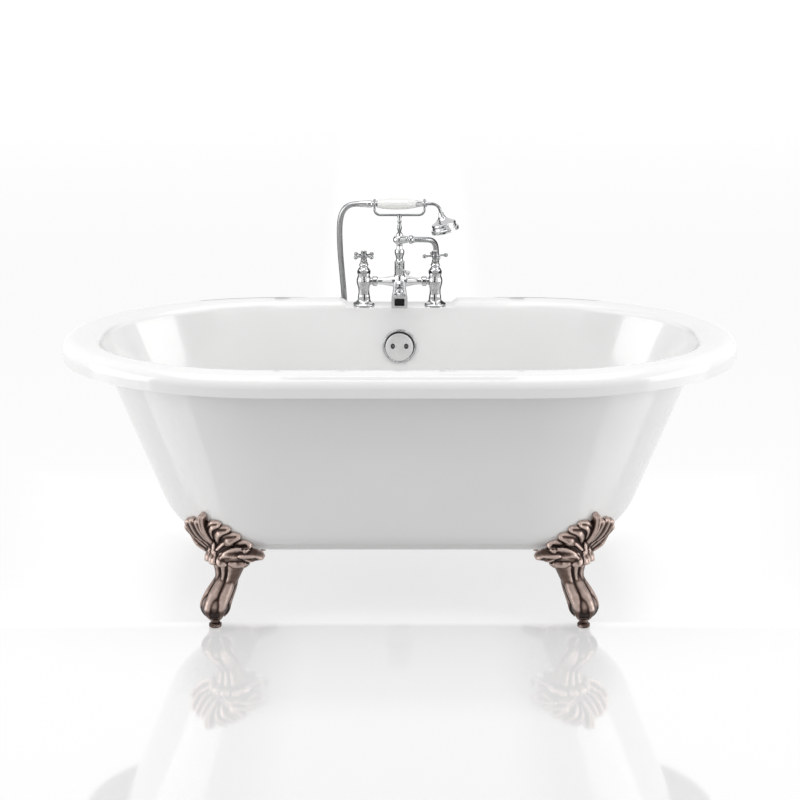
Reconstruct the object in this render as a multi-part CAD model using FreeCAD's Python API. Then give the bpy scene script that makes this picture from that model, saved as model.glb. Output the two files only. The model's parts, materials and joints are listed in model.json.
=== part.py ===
import FreeCAD, Part
import math
import os

# Clawfoot bathtub: a double-ended rolled-rim tub on four claw feet, with a waste and overflow,
# and a bridge bath mixer with a hand shower that stands on a flat deck in the back rim.
# Millimetres. +Z is up and the floor is z = 0. +X runs along the tub, and the mixer is at +Y.
# The origin is on the floor under the middle of the tub.

V = FreeCAD.Vector
UP = V(0, 0, 1)
DOWN = V(0, 0, -1)
LEFT = V(-1, 0, 0)
RIGHT = V(1, 0, 0)
FRONT = V(0, -1, 0)
BACK = V(0, 1, 0)

# ---- tub ----
TUB_LENGTH = 1600.0
TUB_WIDTH = 750.0
RIM_HEIGHT = 650.0            # floor to the crown of the rim
UNDERSIDE_HEIGHT = 180.0      # floor to the flat underside of the tub
WALL = 7.0
STRAIGHT_HALF = 290.0         # half of the straight stretch of each long side
LIP_DEPTH = 51.0              # crown to the lower edge of the rolled lip
LIP_FACE = 21.0               # upright face of the lip, under its outer round
ROLL_OUT = 34.0               # outer edge to the flat of the crown
CROWN_FLAT = 12.0
FLARE = 25.0                  # height of the inner round of the rim
END_OVERHANG = 95.0           # rim's outer edge to the body at the lip's lower edge, at the ends
SIDE_OVERHANG = 68.0          # the same along the sides
END_TAPER = 21.3              # degrees from upright
SIDE_TAPER = 7.1
END_CORNER = 127.0            # radius between the end wall and the underside
SIDE_CORNER = 60.0

# ---- tap deck in the back rim ----
DECK_DROP = 18.0              # crown to deck
DECK_HALF = 132.0             # half length of the flat
DECK_RAMP = 20.0              # how far each end of the recess leans out
DECK_REACH = 95.0             # outer edge to past the inner wall

# ---- feet ----
FOOT_END_INSET = 367.0        # tub's end to the centre of each foot pad
FOOT_SIDE_INSET = 130.0       # tub's side to the centre of each foot pad
FOOT_TURN = 45.0              # degrees between the way a foot faces and the tub's side
BALL_RADIUS = 35.0
BALL_HEIGHT = 53.0            # floor to the ball's centre
BALL_FLAT = 19.0              # floor to the flat under the ball
TOE_RADIUS = 8.5
TOE_SPREAD = 52.0             # degrees between front toes
LEAF_THICK = 17.0
FIT_GAP = 0.3                 # between a foot's leaf and the tub
FOOT_BOSS_RADIUS = 13.0
FOOT_BOSS_DEPTH = 12.0
FOOT_BOLT_BACK = 112.0        # pad centre to the bolts, towards the tub's middle
FOOT_BOLT_SIDE = 22.0         # bolts either side of the foot's middle
FOOT_PLATE_END = 134.0        # pad centre to the plate's inner end
FOOT_PLATE_HALF = 40.0
LEAF_TOP = 120.0              # underside to above the leaf's tip
LEAF_DEPTH = 60.0             # pad centre to in front of the leaf
LEG_TOP_BACK = 52.0           # pad centre to the knee's centre
LEG_TOP_RADIUS = 41.0
BOLT_RADIUS = 5.0
BOLT_LENGTH = 20.0
BOLT_HEAD = 6.4
BOLT_FLATS = 17.0
WASHER_RADIUS = 11.0
WASHER_THICK = 2.0

THREAD_GAP = 0.05             # radial gap where one piece screws or presses into another

# ---- levelling pads ----
PAD_RADIUS = 15.0
PAD_HEIGHT = 11.5
STUD_RADIUS = 5.0
STUD_TOP = 46.0
STUD_CLEAR = 0.08             # radial running clearance
LOCK_NUT_FLATS = 18.0
LOCK_NUT_HEIGHT = 6.5

# ---- waste and overflow ----
DRAIN_Y = 80.0
DRAIN_HOLE = 25.0             # radius
DRAIN_FLANGE_RADIUS = 35.0
DRAIN_FLANGE_THICK = 3.0
DRAIN_TAIL_RADIUS = 23.9
DRAIN_TAIL_DROP = 30.0        # underside to the tail's lower end
DRAIN_BORE = 19.0
DRAIN_SHOE_RADIUS = 34.0
SHOE_REACH = 60.0             # drain's axis to the mouth of the shoe's socket
GUIDE_DROP = 17.0             # underside to the cross that guides the plug
GUIDE_HEIGHT = 12.0
GUIDE_ARM = 4.0
GASKET_THICK = 3.0
PLUG_RADIUS = 29.0
PLUG_THICK = 5.0
PLUG_STEM_RADIUS = 4.0
PLUG_GAP = 1.2                # closed plug above its flange
OVERFLOW_DROP = 114.0         # crown to the overflow's centre
OVERFLOW_HOLE = 27.0
OVERFLOW_PLATE_RADIUS = 43.0
OVERFLOW_SCREW_HALF = 17.0    # half of the distance between the two screws
OVERFLOW_RING_BORE = 30.0
OVERFLOW_DISC = 26.0
OVERFLOW_OFFSET = 2.0         # how far the disc sits off the ring's centre, left and down
OVERFLOW_WEB = 2.0
SCREW_RADIUS = 2.4
SCREW_LENGTH = 22.0
SCREW_HEAD = 5.0
ELBOW_RADIUS = 36.0
ELBOW_DEPTH = 38.0
ELBOW_DROP = 50.0             # overflow's centre to the mouth of the elbow's socket
PIPE_RADIUS = 16.0
PIPE_WALL = 1.5
PIPE_INSET = 47.0             # rim's outer edge to the upright overflow pipe's axis
TEE_DROP = 48.0               # underside to the axis of the level pipe from the drain shoe
TEE_RADIUS = 20.0
TEE_REACH = 38.0              # tee's centre to each socket's mouth
SOCKET_DEPTH = 20.0
TAIL_RADIUS = 19.05           # waste outlet, outside
TAIL_END = 55.0               # floor to the outlet's end
SLIP_NUT_FLATS = 46.0
SLIP_NUT_LENGTH = 15.0

# ---- mixer ----
MIXER_INSET = 37.0            # rim's outer edge to the mixer's plane
PILLAR_HALF = 90.0            # half of the 180 mm between the pillars
TAIL_THREAD = 13.2            # pillar tail radius, 3/4 inch pipe thread
TAIL_LENGTH = 65.0            # deck surface to the tail's end
TAIL_CLEAR = 0.4
TAIL_SPIGOT = 12.9            # radius of the plain end that the supply's cone washer seals on
TAIL_SPIGOT_LENGTH = 44.0
SEAL_THICK = 1.5
BACK_NUT_HEIGHT = 9.0
BACK_NUT_FLATS = 36.0
BACK_NUT_FLANGE = 21.0
TAP_FLANGE_RADIUS = 27.0
TAP_FLANGE_HEIGHT = 13.0
PILLAR_HEIGHT = 84.0          # deck to the top of the pillar
BRIDGE_HEIGHT = 62.0          # deck to the bridge's axis
WATERWAY = 8.0                # bore radius of pillars
STUB_RADIUS = 9.0             # bridge pipe between centre body and pillar
STUB_BORE = 6.0
STUB_REACH = 28.0             # pillar's axis to the joint in the bridge pipe
RING_NUT_LENGTH = 13.0
RING_NUT_RADIUS = 13.0
CARTRIDGE_RADIUS = 10.0
CARTRIDGE_DEPTH = 22.0
BONNET_HEIGHT = 28.0
BONNET_FLATS = 29.0
SPINDLE_RADIUS = 4.0
SPINDLE_CLEAR = 0.08
HANDLE_GAP = 1.0              # bonnet to handle hub
CROSS_REACH = 28.0            # axis to the centre of a ball end
CROSS_BALL = 5.2
CROSS_LEVEL = 14.5            # hub's base to the arms
HUB_HEIGHT = 27.0
HUB_SOCKET = 14.0
INDEX_RADIUS = 5.8
INDEX_SEAT = 2.0
CROSS_TURNS = {"hot": 45.0, "cold": 15.0}
BRIDGE_TOP = 15.0             # bridge's axis to the column's foot
SPOUT_REACH = 100.0           # mixer's plane to the spout's mouth
SPOUT_DROP = 46.0             # bridge's axis to the mouth's lower edge
SPOUT_MOUTH_WIDTH = 40.0
SPOUT_MOUTH_HEIGHT = 31.0
SPOUT_WALL = 6.0              # under and over the duct at the mouth
SPOUT_BORE_WIDTH = 25.0
COLUMN_RADIUS = 12.5
COLUMN_HEIGHT = 76.0
COLUMN_BORE = 5.0
LEVER_HEIGHT = 101.5          # deck to the lever's pivot
LEVER_SPINDLE = 3.5
LEVER_BOSS = 15.0             # mixer's plane to the lever
LEVER_LENGTH = 24.0
LEVER_DROP = 34.0             # degrees below level, to the right
TEE_HEIGHT = 169.0            # deck to the axis of the hose outlet
OUTLET_BACK = 16.0            # column's axis to the rounded end
OUTLET_BODY = 38.0            # rounded end to the thread
OUTLET_THREAD = 7.0
OUTLET_NUT_LENGTH = 14.0
OUTLET_NUT_END = 38.0         # column's axis to where the hose leaves
POST_RADIUS = 4.8
YOKE_RADIUS = 3.0
YOKE_HALF = 62.5
YOKE_BEND = 14.0
YOKE_DROP = 28.4              # handset's axis to the yoke's lower bar
HANDSET_HEIGHT = 260.0        # deck to the handset's axis
FORK_RADIUS = 9.2             # middle radius of the fork that holds the handset
FORK_WIRE = 2.3
FORK_PRONG = 8.0              # handset's axis to the prongs' tips
FORK_TIP = 3.1                # radius of the ball on each prong
FORK_SEAT = 0.8               # fork's lowest middle line to the end of the yoke's bar
GRIP_START = -55.0
GRIP_END = 41.0
GRIP_RADIUS = 14.3
NECK_RADIUS = 6.6             # handset where the fork holds it
COLLAR_END = 6.5              # fork's centre to the collar's outer end
ARM_RADIUS = 3.9
ARM_BEND = 22.0
FERRULE_END = -101.0          # where the hose joins the handset
ROSE_TILT = 14.5              # degrees the rose leans from straight down
ROSE_RADIUS = 35.5
ROSE_X = 115.5                # centre of the spray plate
ROSE_DROP = 70.0              # handset's axis to the centre of the spray plate
ROSE_LENGTH = 45.0
ROSE_SOCKET = 5.0
HOSE_RADIUS = 7.2
HOSE_BORE = 3.0

# ---- worked out from the driving dimensions ----
BODY_END_HALF = TUB_LENGTH / 2 - END_OVERHANG
BODY_SIDE_HALF = TUB_WIDTH / 2 - SIDE_OVERHANG
FOOT_X = TUB_LENGTH / 2 - FOOT_END_INSET
FOOT_Y = TUB_WIDTH / 2 - FOOT_SIDE_INSET
MIXER_Y = TUB_WIDTH / 2 - MIXER_INSET
PIPE_Y = TUB_WIDTH / 2 - PIPE_INSET
TEE_Z = UNDERSIDE_HEIGHT - TEE_DROP
DRAIN_TAIL_END = UNDERSIDE_HEIGHT - DRAIN_TAIL_DROP
GUIDE_BASE = UNDERSIDE_HEIGHT - GUIDE_DROP
OVERFLOW_Z = RIM_HEIGHT - OVERFLOW_DROP
ELBOW_BASE = OVERFLOW_Z - ELBOW_DROP
LIP_BOTTOM = RIM_HEIGHT - LIP_DEPTH
SHOULDER = LIP_BOTTOM + LIP_FACE
FLOOR_TOP = UNDERSIDE_HEIGHT + WALL
DECK_Z = RIM_HEIGHT - DECK_DROP
PILLAR_TOP = DECK_Z + PILLAR_HEIGHT
BRIDGE_Z = DECK_Z + BRIDGE_HEIGHT
BONNET_TOP = PILLAR_TOP + BONNET_HEIGHT
HUB_BASE = BONNET_TOP + HANDLE_GAP
OUTLET_Z = DECK_Z + TEE_HEIGHT
HANDSET_Z = DECK_Z + HANDSET_HEIGHT
YOKE_Z = HANDSET_Z - YOKE_DROP
ROSE_Z = HANDSET_Z - ROSE_DROP
LEVER_Z = DECK_Z + LEVER_HEIGHT
COLUMN_BASE = BRIDGE_Z + BRIDGE_TOP
COLUMN_TOP = COLUMN_BASE + COLUMN_HEIGHT
BOLT_SEAT = UNDERSIDE_HEIGHT - FOOT_BOSS_DEPTH
PLATE_LOW = UNDERSIDE_HEIGHT - LEAF_THICK


# ================= shape helpers =================

def place(shape, origin, direction):
    """Turns a shape made along +Z from (0, 0, 0) to point along direction from origin."""
    shape.Placement = FreeCAD.Placement(origin, FreeCAD.Rotation(UP, direction))
    return shape


def cylinder(radius, height, origin, direction=UP):
    return Part.makeCylinder(radius, height, origin, direction)


def ring(outer, bore, height, origin, direction=UP):
    return cylinder(outer, height, origin, direction).cut(cylinder(bore, height, origin, direction))


def profile_edges(points):
    """Edges in the XZ plane. A point is (radius, height); a list of points is a smooth curve through them."""
    edges = []
    last = None
    for item in points:
        if isinstance(item, list):
            curve = Part.BSplineCurve()
            curve.interpolate([last] + [V(r, 0, z) for r, z in item])
            edges.append(curve.toShape())
            last = V(item[-1][0], 0, item[-1][1])
            continue
        here = V(item[0], 0, item[1])
        if last is not None and here.distanceToPoint(last) > 1e-6:
            edges.append(Part.LineSegment(last, here).toShape())
        last = here
    return edges, last


def turned(points, bore=0.0, origin=V(0, 0, 0), direction=UP):
    """A lathe-turned piece: an outline of (radius, height) from its base to its top, with a straight bore."""
    edges, last = profile_edges(points)
    first = V(points[0][0], 0, points[0][1])
    inner_top = V(bore, 0, last.z)
    inner_base = V(bore, 0, first.z)
    for a, b in ((last, inner_top), (inner_top, inner_base), (inner_base, first)):
        if a.distanceToPoint(b) > 1e-6:
            edges.append(Part.LineSegment(a, b).toShape())
    face = Part.Face(Part.Wire(edges))
    return place(face.revolve(V(0, 0, 0), UP, 360), origin, direction)


def hexagon(flats, height, origin, direction=UP, bore=0.0):
    corner = flats / 2 / math.cos(math.radians(30))
    points = [V(corner * math.cos(math.radians(60 * k)), corner * math.sin(math.radians(60 * k)), 0)
              for k in range(7)]
    solid = place(Part.Face(Part.makePolygon(points)).extrude(V(0, 0, height)), origin, direction)
    return solid.cut(cylinder(bore, height, origin, direction)) if bore else solid


def rounded_wire(points, radii):
    """A path of straight runs joined by tangent arcs, one radius for each inner point."""
    edges = []
    start = points[0]
    for k in range(1, len(points) - 1):
        here = points[k]
        back = (points[k - 1] - here).normalize()
        ahead = (points[k + 1] - here).normalize()
        half_turn = (math.pi - back.getAngle(ahead)) / 2
        setback = radii[k - 1] * math.tan(half_turn)
        enter = here + back * setback
        leave = here + ahead * setback
        bisector = (back + ahead).normalize()
        middle = here + bisector * (radii[k - 1] / math.cos(half_turn) - radii[k - 1])
        edges.append(Part.LineSegment(start, enter).toShape())
        edges.append(Part.Arc(enter, middle, leave).toShape())
        start = leave
    edges.append(Part.LineSegment(start, points[-1]).toShape())
    return Part.Wire(edges)


def bar_along(path, radius):
    """A round bar along a path."""
    first = path.Edges[0]
    start = first.valueAt(first.FirstParameter)
    section = Part.Wire(Part.makeCircle(radius, start, first.tangentAt(first.FirstParameter)))
    return path.makePipeShell([section], True, False)


def joined(shapes):
    result = shapes[0].multiFuse(shapes[1:])
    return result.removeSplitter()


# ================= tub =================

def quarter(start, corner, end):
    """An exact quarter of an ellipse."""
    curve = Part.BSplineCurve()
    curve.buildFromPolesMultsKnots([start, corner, end], [3, 3], [0, 1], False, 2,
                                   [1, math.sqrt(0.5), 1])
    return curve.toShape()


def oval(half_length, half_width, height):
    """Plan outline: straight long sides with half-ellipse ends."""
    a, b, s = half_length, half_width, STRAIGHT_HALF
    p = [V(s, -b, height), V(a, 0, height), V(s, b, height),
         V(-s, b, height), V(-a, 0, height), V(-s, -b, height)]
    return Part.Wire([
        quarter(p[0], V(a, -b, height), p[1]),
        quarter(p[1], V(a, b, height), p[2]),
        Part.LineSegment(p[2], p[3]).toShape(),
        quarter(p[3], V(-a, b, height), p[4]),
        quarter(p[4], V(-a, -b, height), p[5]),
        Part.LineSegment(p[5], p[0]).toShape(),
    ])


def wall_half(height, lip_half, taper, corner, inset):
    """Half length or width of the body at a height. A positive inset is inside the outer surface."""
    lean = math.radians(taper)
    centre_z = UNDERSIDE_HEIGHT + corner
    tangent_z = centre_z - corner * math.sin(lean)
    tangent_half = lip_half - (LIP_BOTTOM - tangent_z) * math.tan(lean)
    centre_half = tangent_half - corner * math.cos(lean)
    radius = corner - inset
    rise = height - (centre_z - radius * math.sin(lean))
    if rise >= 0:
        return centre_half + radius * math.cos(lean) + rise * math.tan(lean)
    drop = centre_z - height
    return centre_half + math.sqrt(max(radius * radius - drop * drop, 0.0))


def end_half(height, inset=0.0):
    return wall_half(height, BODY_END_HALF, END_TAPER, END_CORNER, inset)


def side_half(height, inset=0.0):
    return wall_half(height, BODY_SIDE_HALF, SIDE_TAPER, SIDE_CORNER, inset)


def section(height, inset):
    return oval(end_half(height, inset), side_half(height, inset), height)


def body_block(inset, top):
    """The body as one block, grown or shrunk by inset: a rounded bottom, and straight walls up to top."""
    base = UNDERSIDE_HEIGHT + inset
    straight = UNDERSIDE_HEIGHT + END_CORNER - (END_CORNER - inset) * math.sin(math.radians(END_TAPER))
    turns = [math.radians(t) for t in (0, 9, 20, 32, 45, 58, 70, 82)]
    heights = [base + (SIDE_CORNER - inset) * (1 - math.cos(t)) for t in turns]
    heights = [h for h in heights if h < straight - 6]
    heights += [(heights[-1] + straight) / 2, straight]
    bottom = Part.makeLoft([section(h, inset) for h in heights], True, False)
    walls = Part.makeLoft([section(h, inset) for h in (straight, top)], True, True)
    return bottom.fuse(walls)


def hollow(inset):
    """The tub's inside with its flare to the crown; inset 0 is the wall's back, WALL its bathing face."""
    foot = RIM_HEIGHT - FLARE - (WALL - inset)
    crown_in = ROLL_OUT + CROWN_FLAT
    a0, b0 = end_half(foot, inset), side_half(foot, inset)
    a1, b1 = TUB_LENGTH / 2 - crown_in, TUB_WIDTH / 2 - crown_in
    sections = [section(foot, inset)]
    for turn in (22, 45, 68, 90):
        out = 1 - math.cos(math.radians(turn))
        rise = math.sin(math.radians(turn))
        sections.append(oval(a0 + (a1 - a0) * out, b0 + (b1 - b0) * out, foot + FLARE * rise))
    return body_block(inset, foot).fuse(Part.makeLoft(sections, True, False))


def rim_block(inset):
    """Everything inside the rim's outer face, from the lip's lower edge to the crown."""
    a, b = TUB_LENGTH / 2 - inset, TUB_WIDTH / 2 - inset
    top = RIM_HEIGHT - inset
    face = Part.Face(oval(a, b, LIP_BOTTOM)).extrude(V(0, 0, SHOULDER - LIP_BOTTOM))
    sections = []
    for turn in (0, 18, 36, 54, 72, 90):
        out = ROLL_OUT * (1 - math.cos(math.radians(turn)))
        rise = (top - SHOULDER) * math.sin(math.radians(turn))
        sections.append(oval(a - out, b - out, SHOULDER + rise))
    return face.fuse(Part.makeLoft(sections, True, False))


def deck_trough(base, grow):
    """The flat-bottomed recess that the mixer stands in, with leaning ends."""
    low, high = DECK_HALF + grow, DECK_HALF + DECK_RAMP + grow
    top = RIM_HEIGHT + 1
    y = TUB_WIDTH / 2 - DECK_REACH
    points = [V(-low, y, base), V(low, y, base), V(high, y, top), V(-high, y, top), V(-low, y, base)]
    return Part.Face(Part.makePolygon(points)).extrude(V(0, DECK_REACH + 1, 0))


def foot_point(out, side, height):
    """A point in the frame of the front left foot: out along the way it faces, side to its left."""
    t = math.radians(FOOT_TURN)
    return V(-FOOT_X - out * math.sin(t) + side * math.cos(t),
             -FOOT_Y - out * math.cos(t) - side * math.sin(t), height)


def bolt_points(height):
    return [foot_point(-FOOT_BOLT_BACK, s * FOOT_BOLT_SIDE, height) for s in (-1, 1)]


def four_corners(shape):
    """The front left piece and its mirror images, as front left, front right, back left, back right."""
    right = shape.mirror(V(0, 0, 0), RIGHT)
    return [shape, right, shape.mirror(V(0, 0, 0), BACK), right.mirror(V(0, 0, 0), BACK)]


def overflow_axis():
    """Where the overflow's axis meets the bathing face, and its direction into the tub."""
    lean = math.radians(SIDE_TAPER)
    return V(0, side_half(OVERFLOW_Z, WALL), OVERFLOW_Z), V(0, -math.cos(lean), math.sin(lean))


def bath_shell():
    rim = rim_block(0).cut(rim_block(WALL))
    shell = rim.fuse(hollow(0))
    liner = deck_trough(DECK_Z - WALL, WALL).common(rim_block(0))
    shell = shell.fuse(liner)
    bosses = []
    for point in bolt_points(BOLT_SEAT):
        boss = cylinder(FOOT_BOSS_RADIUS, FOOT_BOSS_DEPTH + WALL / 2, point)
        bosses += four_corners(boss)
    shell = shell.multiFuse(bosses)
    shell = shell.cut(hollow(WALL)).cut(deck_trough(DECK_Z, 0))
    cuts = []
    for point in bolt_points(BOLT_SEAT):
        hole = cylinder(BOLT_RADIUS, BOLT_LENGTH - WASHER_THICK - (BOLT_SEAT - PLATE_LOW), point)
        cuts += four_corners(hole)
    for side in (-1, 1):
        cuts.append(cylinder(TAIL_THREAD + TAIL_CLEAR * 2, 3 * WALL,
                             V(side * PILLAR_HALF, MIXER_Y, DECK_Z - 2 * WALL)))
    cuts.append(cylinder(DRAIN_HOLE, 3 * WALL, V(0, DRAIN_Y, UNDERSIDE_HEIGHT - WALL)))
    face, inward = overflow_axis()
    cuts.append(cylinder(OVERFLOW_HOLE, 4 * WALL, face + inward * 2 * WALL, inward * -1))
    return shell.cut(Part.makeCompound(cuts))




# ================= feet =================

def leaf_outline():
    """Half of the leaf's lobed edge, as (side, height): notch, lobe tip, notch, and so on, from the top."""
    lobes = [(0, 107), (15, 80), (21, 71), (43, 78), (52, 58), (70, 60), (87, 42), (76, 23), (91, 6),
             (72, -12), (44, -20)]
    return [(side, UNDERSIDE_HEIGHT + rise) for side, rise in lobes]


def leaf_prism():
    half = leaf_outline()
    loop = half + [(-s, z) for s, z in reversed(half[1:])]
    reach = FOOT_PLATE_END
    points = [foot_point(-reach, s, z) for s, z in loop + loop[:1]]
    depth = foot_point(LEAF_DEPTH, 0, 0) - foot_point(-reach, 0, 0)
    return Part.Face(Part.makePolygon(points)).extrude(depth)


def plate_prism():
    """The plate under the tub, as wide as the leg, from the knee to its inner end."""
    half = FOOT_PLATE_HALF
    points = [foot_point(-LEG_TOP_BACK, -half, 0), foot_point(-FOOT_PLATE_END, -half, 0),
              foot_point(-FOOT_PLATE_END, half, 0), foot_point(-LEG_TOP_BACK, half, 0)]
    return Part.Face(Part.makePolygon(points + points[:1])).extrude(V(0, 0, UNDERSIDE_HEIGHT + 1))


def leg():
    """The S-shaped leg from the knee against the tub to the top of the ball."""
    knee, ankle = UNDERSIDE_HEIGHT, BALL_HEIGHT
    stations = [(knee + 35, -46, 27), (knee + 10, -46, 36), (knee - 14, -LEG_TOP_BACK, LEG_TOP_RADIUS),
                (knee - 40, -50, 33), (ankle + 59, -45, 27), (ankle + 37, -32, 25), (ankle + 13, -12, 27)]
    wires = [Part.Wire(Part.makeCircle(r, foot_point(out, 0, z), UP)) for z, out, r in stations]
    return Part.makeLoft(wires, True, False)


def toe(angle, start_out, start_z):
    """One toe of the claw over the ball, ending in a pointed nail."""
    c, s = math.cos(math.radians(angle)), math.sin(math.radians(angle))

    def at(reach, height):
        return foot_point(reach * c, reach * s, height)

    knuckle = BALL_RADIUS + TOE_RADIUS * 0.45
    path = [at(start_out, start_z), at(knuckle * 0.86, BALL_HEIGHT + 24), at(knuckle, BALL_HEIGHT - 2),
            at(knuckle * 0.86, BALL_HEIGHT - 20)]
    bar = bar_along(rounded_wire(path, [12, 16]), TOE_RADIUS)
    joint = Part.makeSphere(TOE_RADIUS * 1.18, path[1])
    tip = Part.makeSphere(TOE_RADIUS, path[3])
    nail = Part.makeCone(TOE_RADIUS * 0.8, 1.5, 14, path[3], at(knuckle * 0.62, BALL_FLAT + 4) - path[3])
    return [bar, joint, tip, nail]


def ball():
    """The ball under the claw, flat below, with the threaded bore for the levelling stud."""
    solid = Part.makeSphere(BALL_RADIUS)
    seam = FreeCAD.Rotation(UP, FOOT_TURN + TOE_SPREAD / 3)
    solid.Placement = FreeCAD.Placement(foot_point(0, 0, BALL_HEIGHT), seam)
    return solid.cut(cylinder(BALL_RADIUS * 2, BALL_FLAT, foot_point(0, 0, 0)))


def claw_foot():
    leaf_top = UNDERSIDE_HEIGHT + LEAF_TOP
    grown = body_block(-LEAF_THICK, leaf_top)
    hugging = grown.common(leaf_prism().fuse(plate_prism()))
    foot = hugging.fuse(leg()).cut(body_block(-FIT_GAP, leaf_top))
    foot = foot.fuse(ball())
    for turn, root in ((-TOE_SPREAD, 6), (0, 2), (TOE_SPREAD, 6)):
        foot = foot.multiFuse(toe(turn, root, BALL_HEIGHT + 36))
    foot = foot.multiFuse(toe(180, 46, BALL_HEIGHT + 42))
    cuts = [cylinder(STUD_RADIUS + STUD_CLEAR, STUD_TOP + 1, foot_point(0, 0, 0))]
    for point in bolt_points(0):
        cuts.append(cylinder(FOOT_BOSS_RADIUS + FIT_GAP, UNDERSIDE_HEIGHT, V(point.x, point.y, BOLT_SEAT)))
        cuts.append(cylinder(BOLT_RADIUS + FIT_GAP, UNDERSIDE_HEIGHT, point))
        cuts.append(cylinder(WASHER_RADIUS + 1, PLATE_LOW, point))
    return foot.cut(Part.makeCompound(cuts))


def foot_bolts():
    bolts = []
    for point in bolt_points(PLATE_LOW - WASHER_THICK):
        shank = cylinder(BOLT_RADIUS - THREAD_GAP, BOLT_LENGTH, point)
        head = hexagon(BOLT_FLATS, BOLT_HEAD, point - V(0, 0, BOLT_HEAD))
        bolts += four_corners(joined([shank, head]))
    return bolts


def foot_bolt_washers():
    rings = []
    for point in bolt_points(PLATE_LOW - WASHER_THICK):
        rings += four_corners(ring(WASHER_RADIUS, BOLT_RADIUS + FIT_GAP, WASHER_THICK, point))
    return rings


def levelling_pad():
    """A round pad on a threaded stud that screws up into the ball."""
    outline = [(PAD_RADIUS - 2, 0), (PAD_RADIUS, 2), (PAD_RADIUS, PAD_HEIGHT - 4),
               (PAD_RADIUS - 4, PAD_HEIGHT - 1), (PAD_RADIUS - 7, PAD_HEIGHT),
               (STUD_RADIUS, PAD_HEIGHT), (STUD_RADIUS, STUD_TOP - 1), (STUD_RADIUS - 1, STUD_TOP)]
    return turned(outline, 0, foot_point(0, 0, 0))


def levelling_lock_nuts():
    nut = hexagon(LOCK_NUT_FLATS, LOCK_NUT_HEIGHT, foot_point(0, 0, BALL_FLAT - LOCK_NUT_HEIGHT), UP,
                  STUD_RADIUS + STUD_CLEAR)
    return four_corners(nut)


# ================= waste and overflow =================

def drain_flange():
    """The chromed waste in the tub's floor: rim, threaded tail and a cross that guides the plug."""
    o = V(0, DRAIN_Y, 0)
    top = FLOOR_TOP + DRAIN_FLANGE_THICK
    rim = turned([(DRAIN_FLANGE_RADIUS, FLOOR_TOP), (DRAIN_FLANGE_RADIUS, FLOOR_TOP + 1),
                  [(DRAIN_FLANGE_RADIUS - 4, top - 0.4), (DRAIN_BORE + 6, top)], (DRAIN_BORE + 1, top),
                  (DRAIN_BORE, top - 1)], DRAIN_BORE, o)
    tail = ring(DRAIN_TAIL_RADIUS, DRAIN_BORE, FLOOR_TOP - DRAIN_TAIL_END, o + V(0, 0, DRAIN_TAIL_END))
    hub = cylinder(PLUG_STEM_RADIUS + 4, GUIDE_HEIGHT, o + V(0, 0, GUIDE_BASE))
    arms = []
    for a, b in ((2 * DRAIN_BORE + 1, GUIDE_ARM), (GUIDE_ARM, 2 * DRAIN_BORE + 1)):
        arms.append(Part.makeBox(a, b, GUIDE_HEIGHT, o + V(-a / 2, -b / 2, GUIDE_BASE)))
    flange = joined([rim, tail, hub] + arms)
    return flange.cut(cylinder(PLUG_STEM_RADIUS + STUD_CLEAR, FLOOR_TOP, o))


def drain_plug():
    base = FLOOR_TOP + DRAIN_FLANGE_THICK + PLUG_GAP
    dome = turned([(PLUG_RADIUS - 1, base), (PLUG_RADIUS, base + 1), (PLUG_RADIUS, base + 2),
                   [(PLUG_RADIUS - 4, base + 3.6), (PLUG_RADIUS / 2, base + PLUG_THICK - 0.3),
                    (0.001, base + PLUG_THICK)]], 0, V(0, DRAIN_Y, 0))
    stem = cylinder(PLUG_STEM_RADIUS, base - GUIDE_BASE + 3, V(0, DRAIN_Y, GUIDE_BASE - 3))
    return joined([dome, stem])


def drain_plug_seal():
    base = FLOOR_TOP + DRAIN_FLANGE_THICK + PLUG_GAP
    return ring(DRAIN_BORE - 0.4, PLUG_STEM_RADIUS + THREAD_GAP, PLUG_GAP + 2,
                V(0, DRAIN_Y, base - PLUG_GAP - 2))


def drain_gasket():
    return ring(DRAIN_SHOE_RADIUS, DRAIN_TAIL_RADIUS + THREAD_GAP, GASKET_THICK,
                V(0, DRAIN_Y, UNDERSIDE_HEIGHT - GASKET_THICK))


def drain_shoe():
    """The cup under the waste, with a side socket for the level pipe."""
    o = V(0, DRAIN_Y, 0)
    top = UNDERSIDE_HEIGHT - GASKET_THICK
    base = TEE_Z - TEE_RADIUS
    cup = turned([(DRAIN_SHOE_RADIUS - 12, base), (DRAIN_SHOE_RADIUS - 6, base + 4),
                  (DRAIN_SHOE_RADIUS - 6, top - 8), (DRAIN_SHOE_RADIUS, top - 5),
                  (DRAIN_SHOE_RADIUS, top)], 0, o)
    socket = cylinder(TEE_RADIUS, SHOE_REACH, V(0, DRAIN_Y, TEE_Z), BACK)
    shoe = joined([cup, socket])
    chamber = cylinder(DRAIN_BORE, top - base - 4, V(0, DRAIN_Y, base + 4))
    thread = cylinder(DRAIN_TAIL_RADIUS + THREAD_GAP, top - DRAIN_TAIL_END + 1, V(0, DRAIN_Y, DRAIN_TAIL_END - 1))
    way = cylinder(PIPE_RADIUS - PIPE_WALL, SHOE_REACH, V(0, DRAIN_Y, TEE_Z), BACK)
    seat = cylinder(PIPE_RADIUS + THREAD_GAP, SOCKET_DEPTH, V(0, DRAIN_Y + SHOE_REACH - SOCKET_DEPTH, TEE_Z), BACK)
    return shoe.cut(Part.makeCompound([chamber, thread, way, seat]))


def drain_pipe():
    start = DRAIN_Y + SHOE_REACH - SOCKET_DEPTH
    end = PIPE_Y - TEE_REACH + SOCKET_DEPTH
    return ring(PIPE_RADIUS, PIPE_RADIUS - PIPE_WALL, end - start, V(0, start, TEE_Z), BACK)


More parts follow.
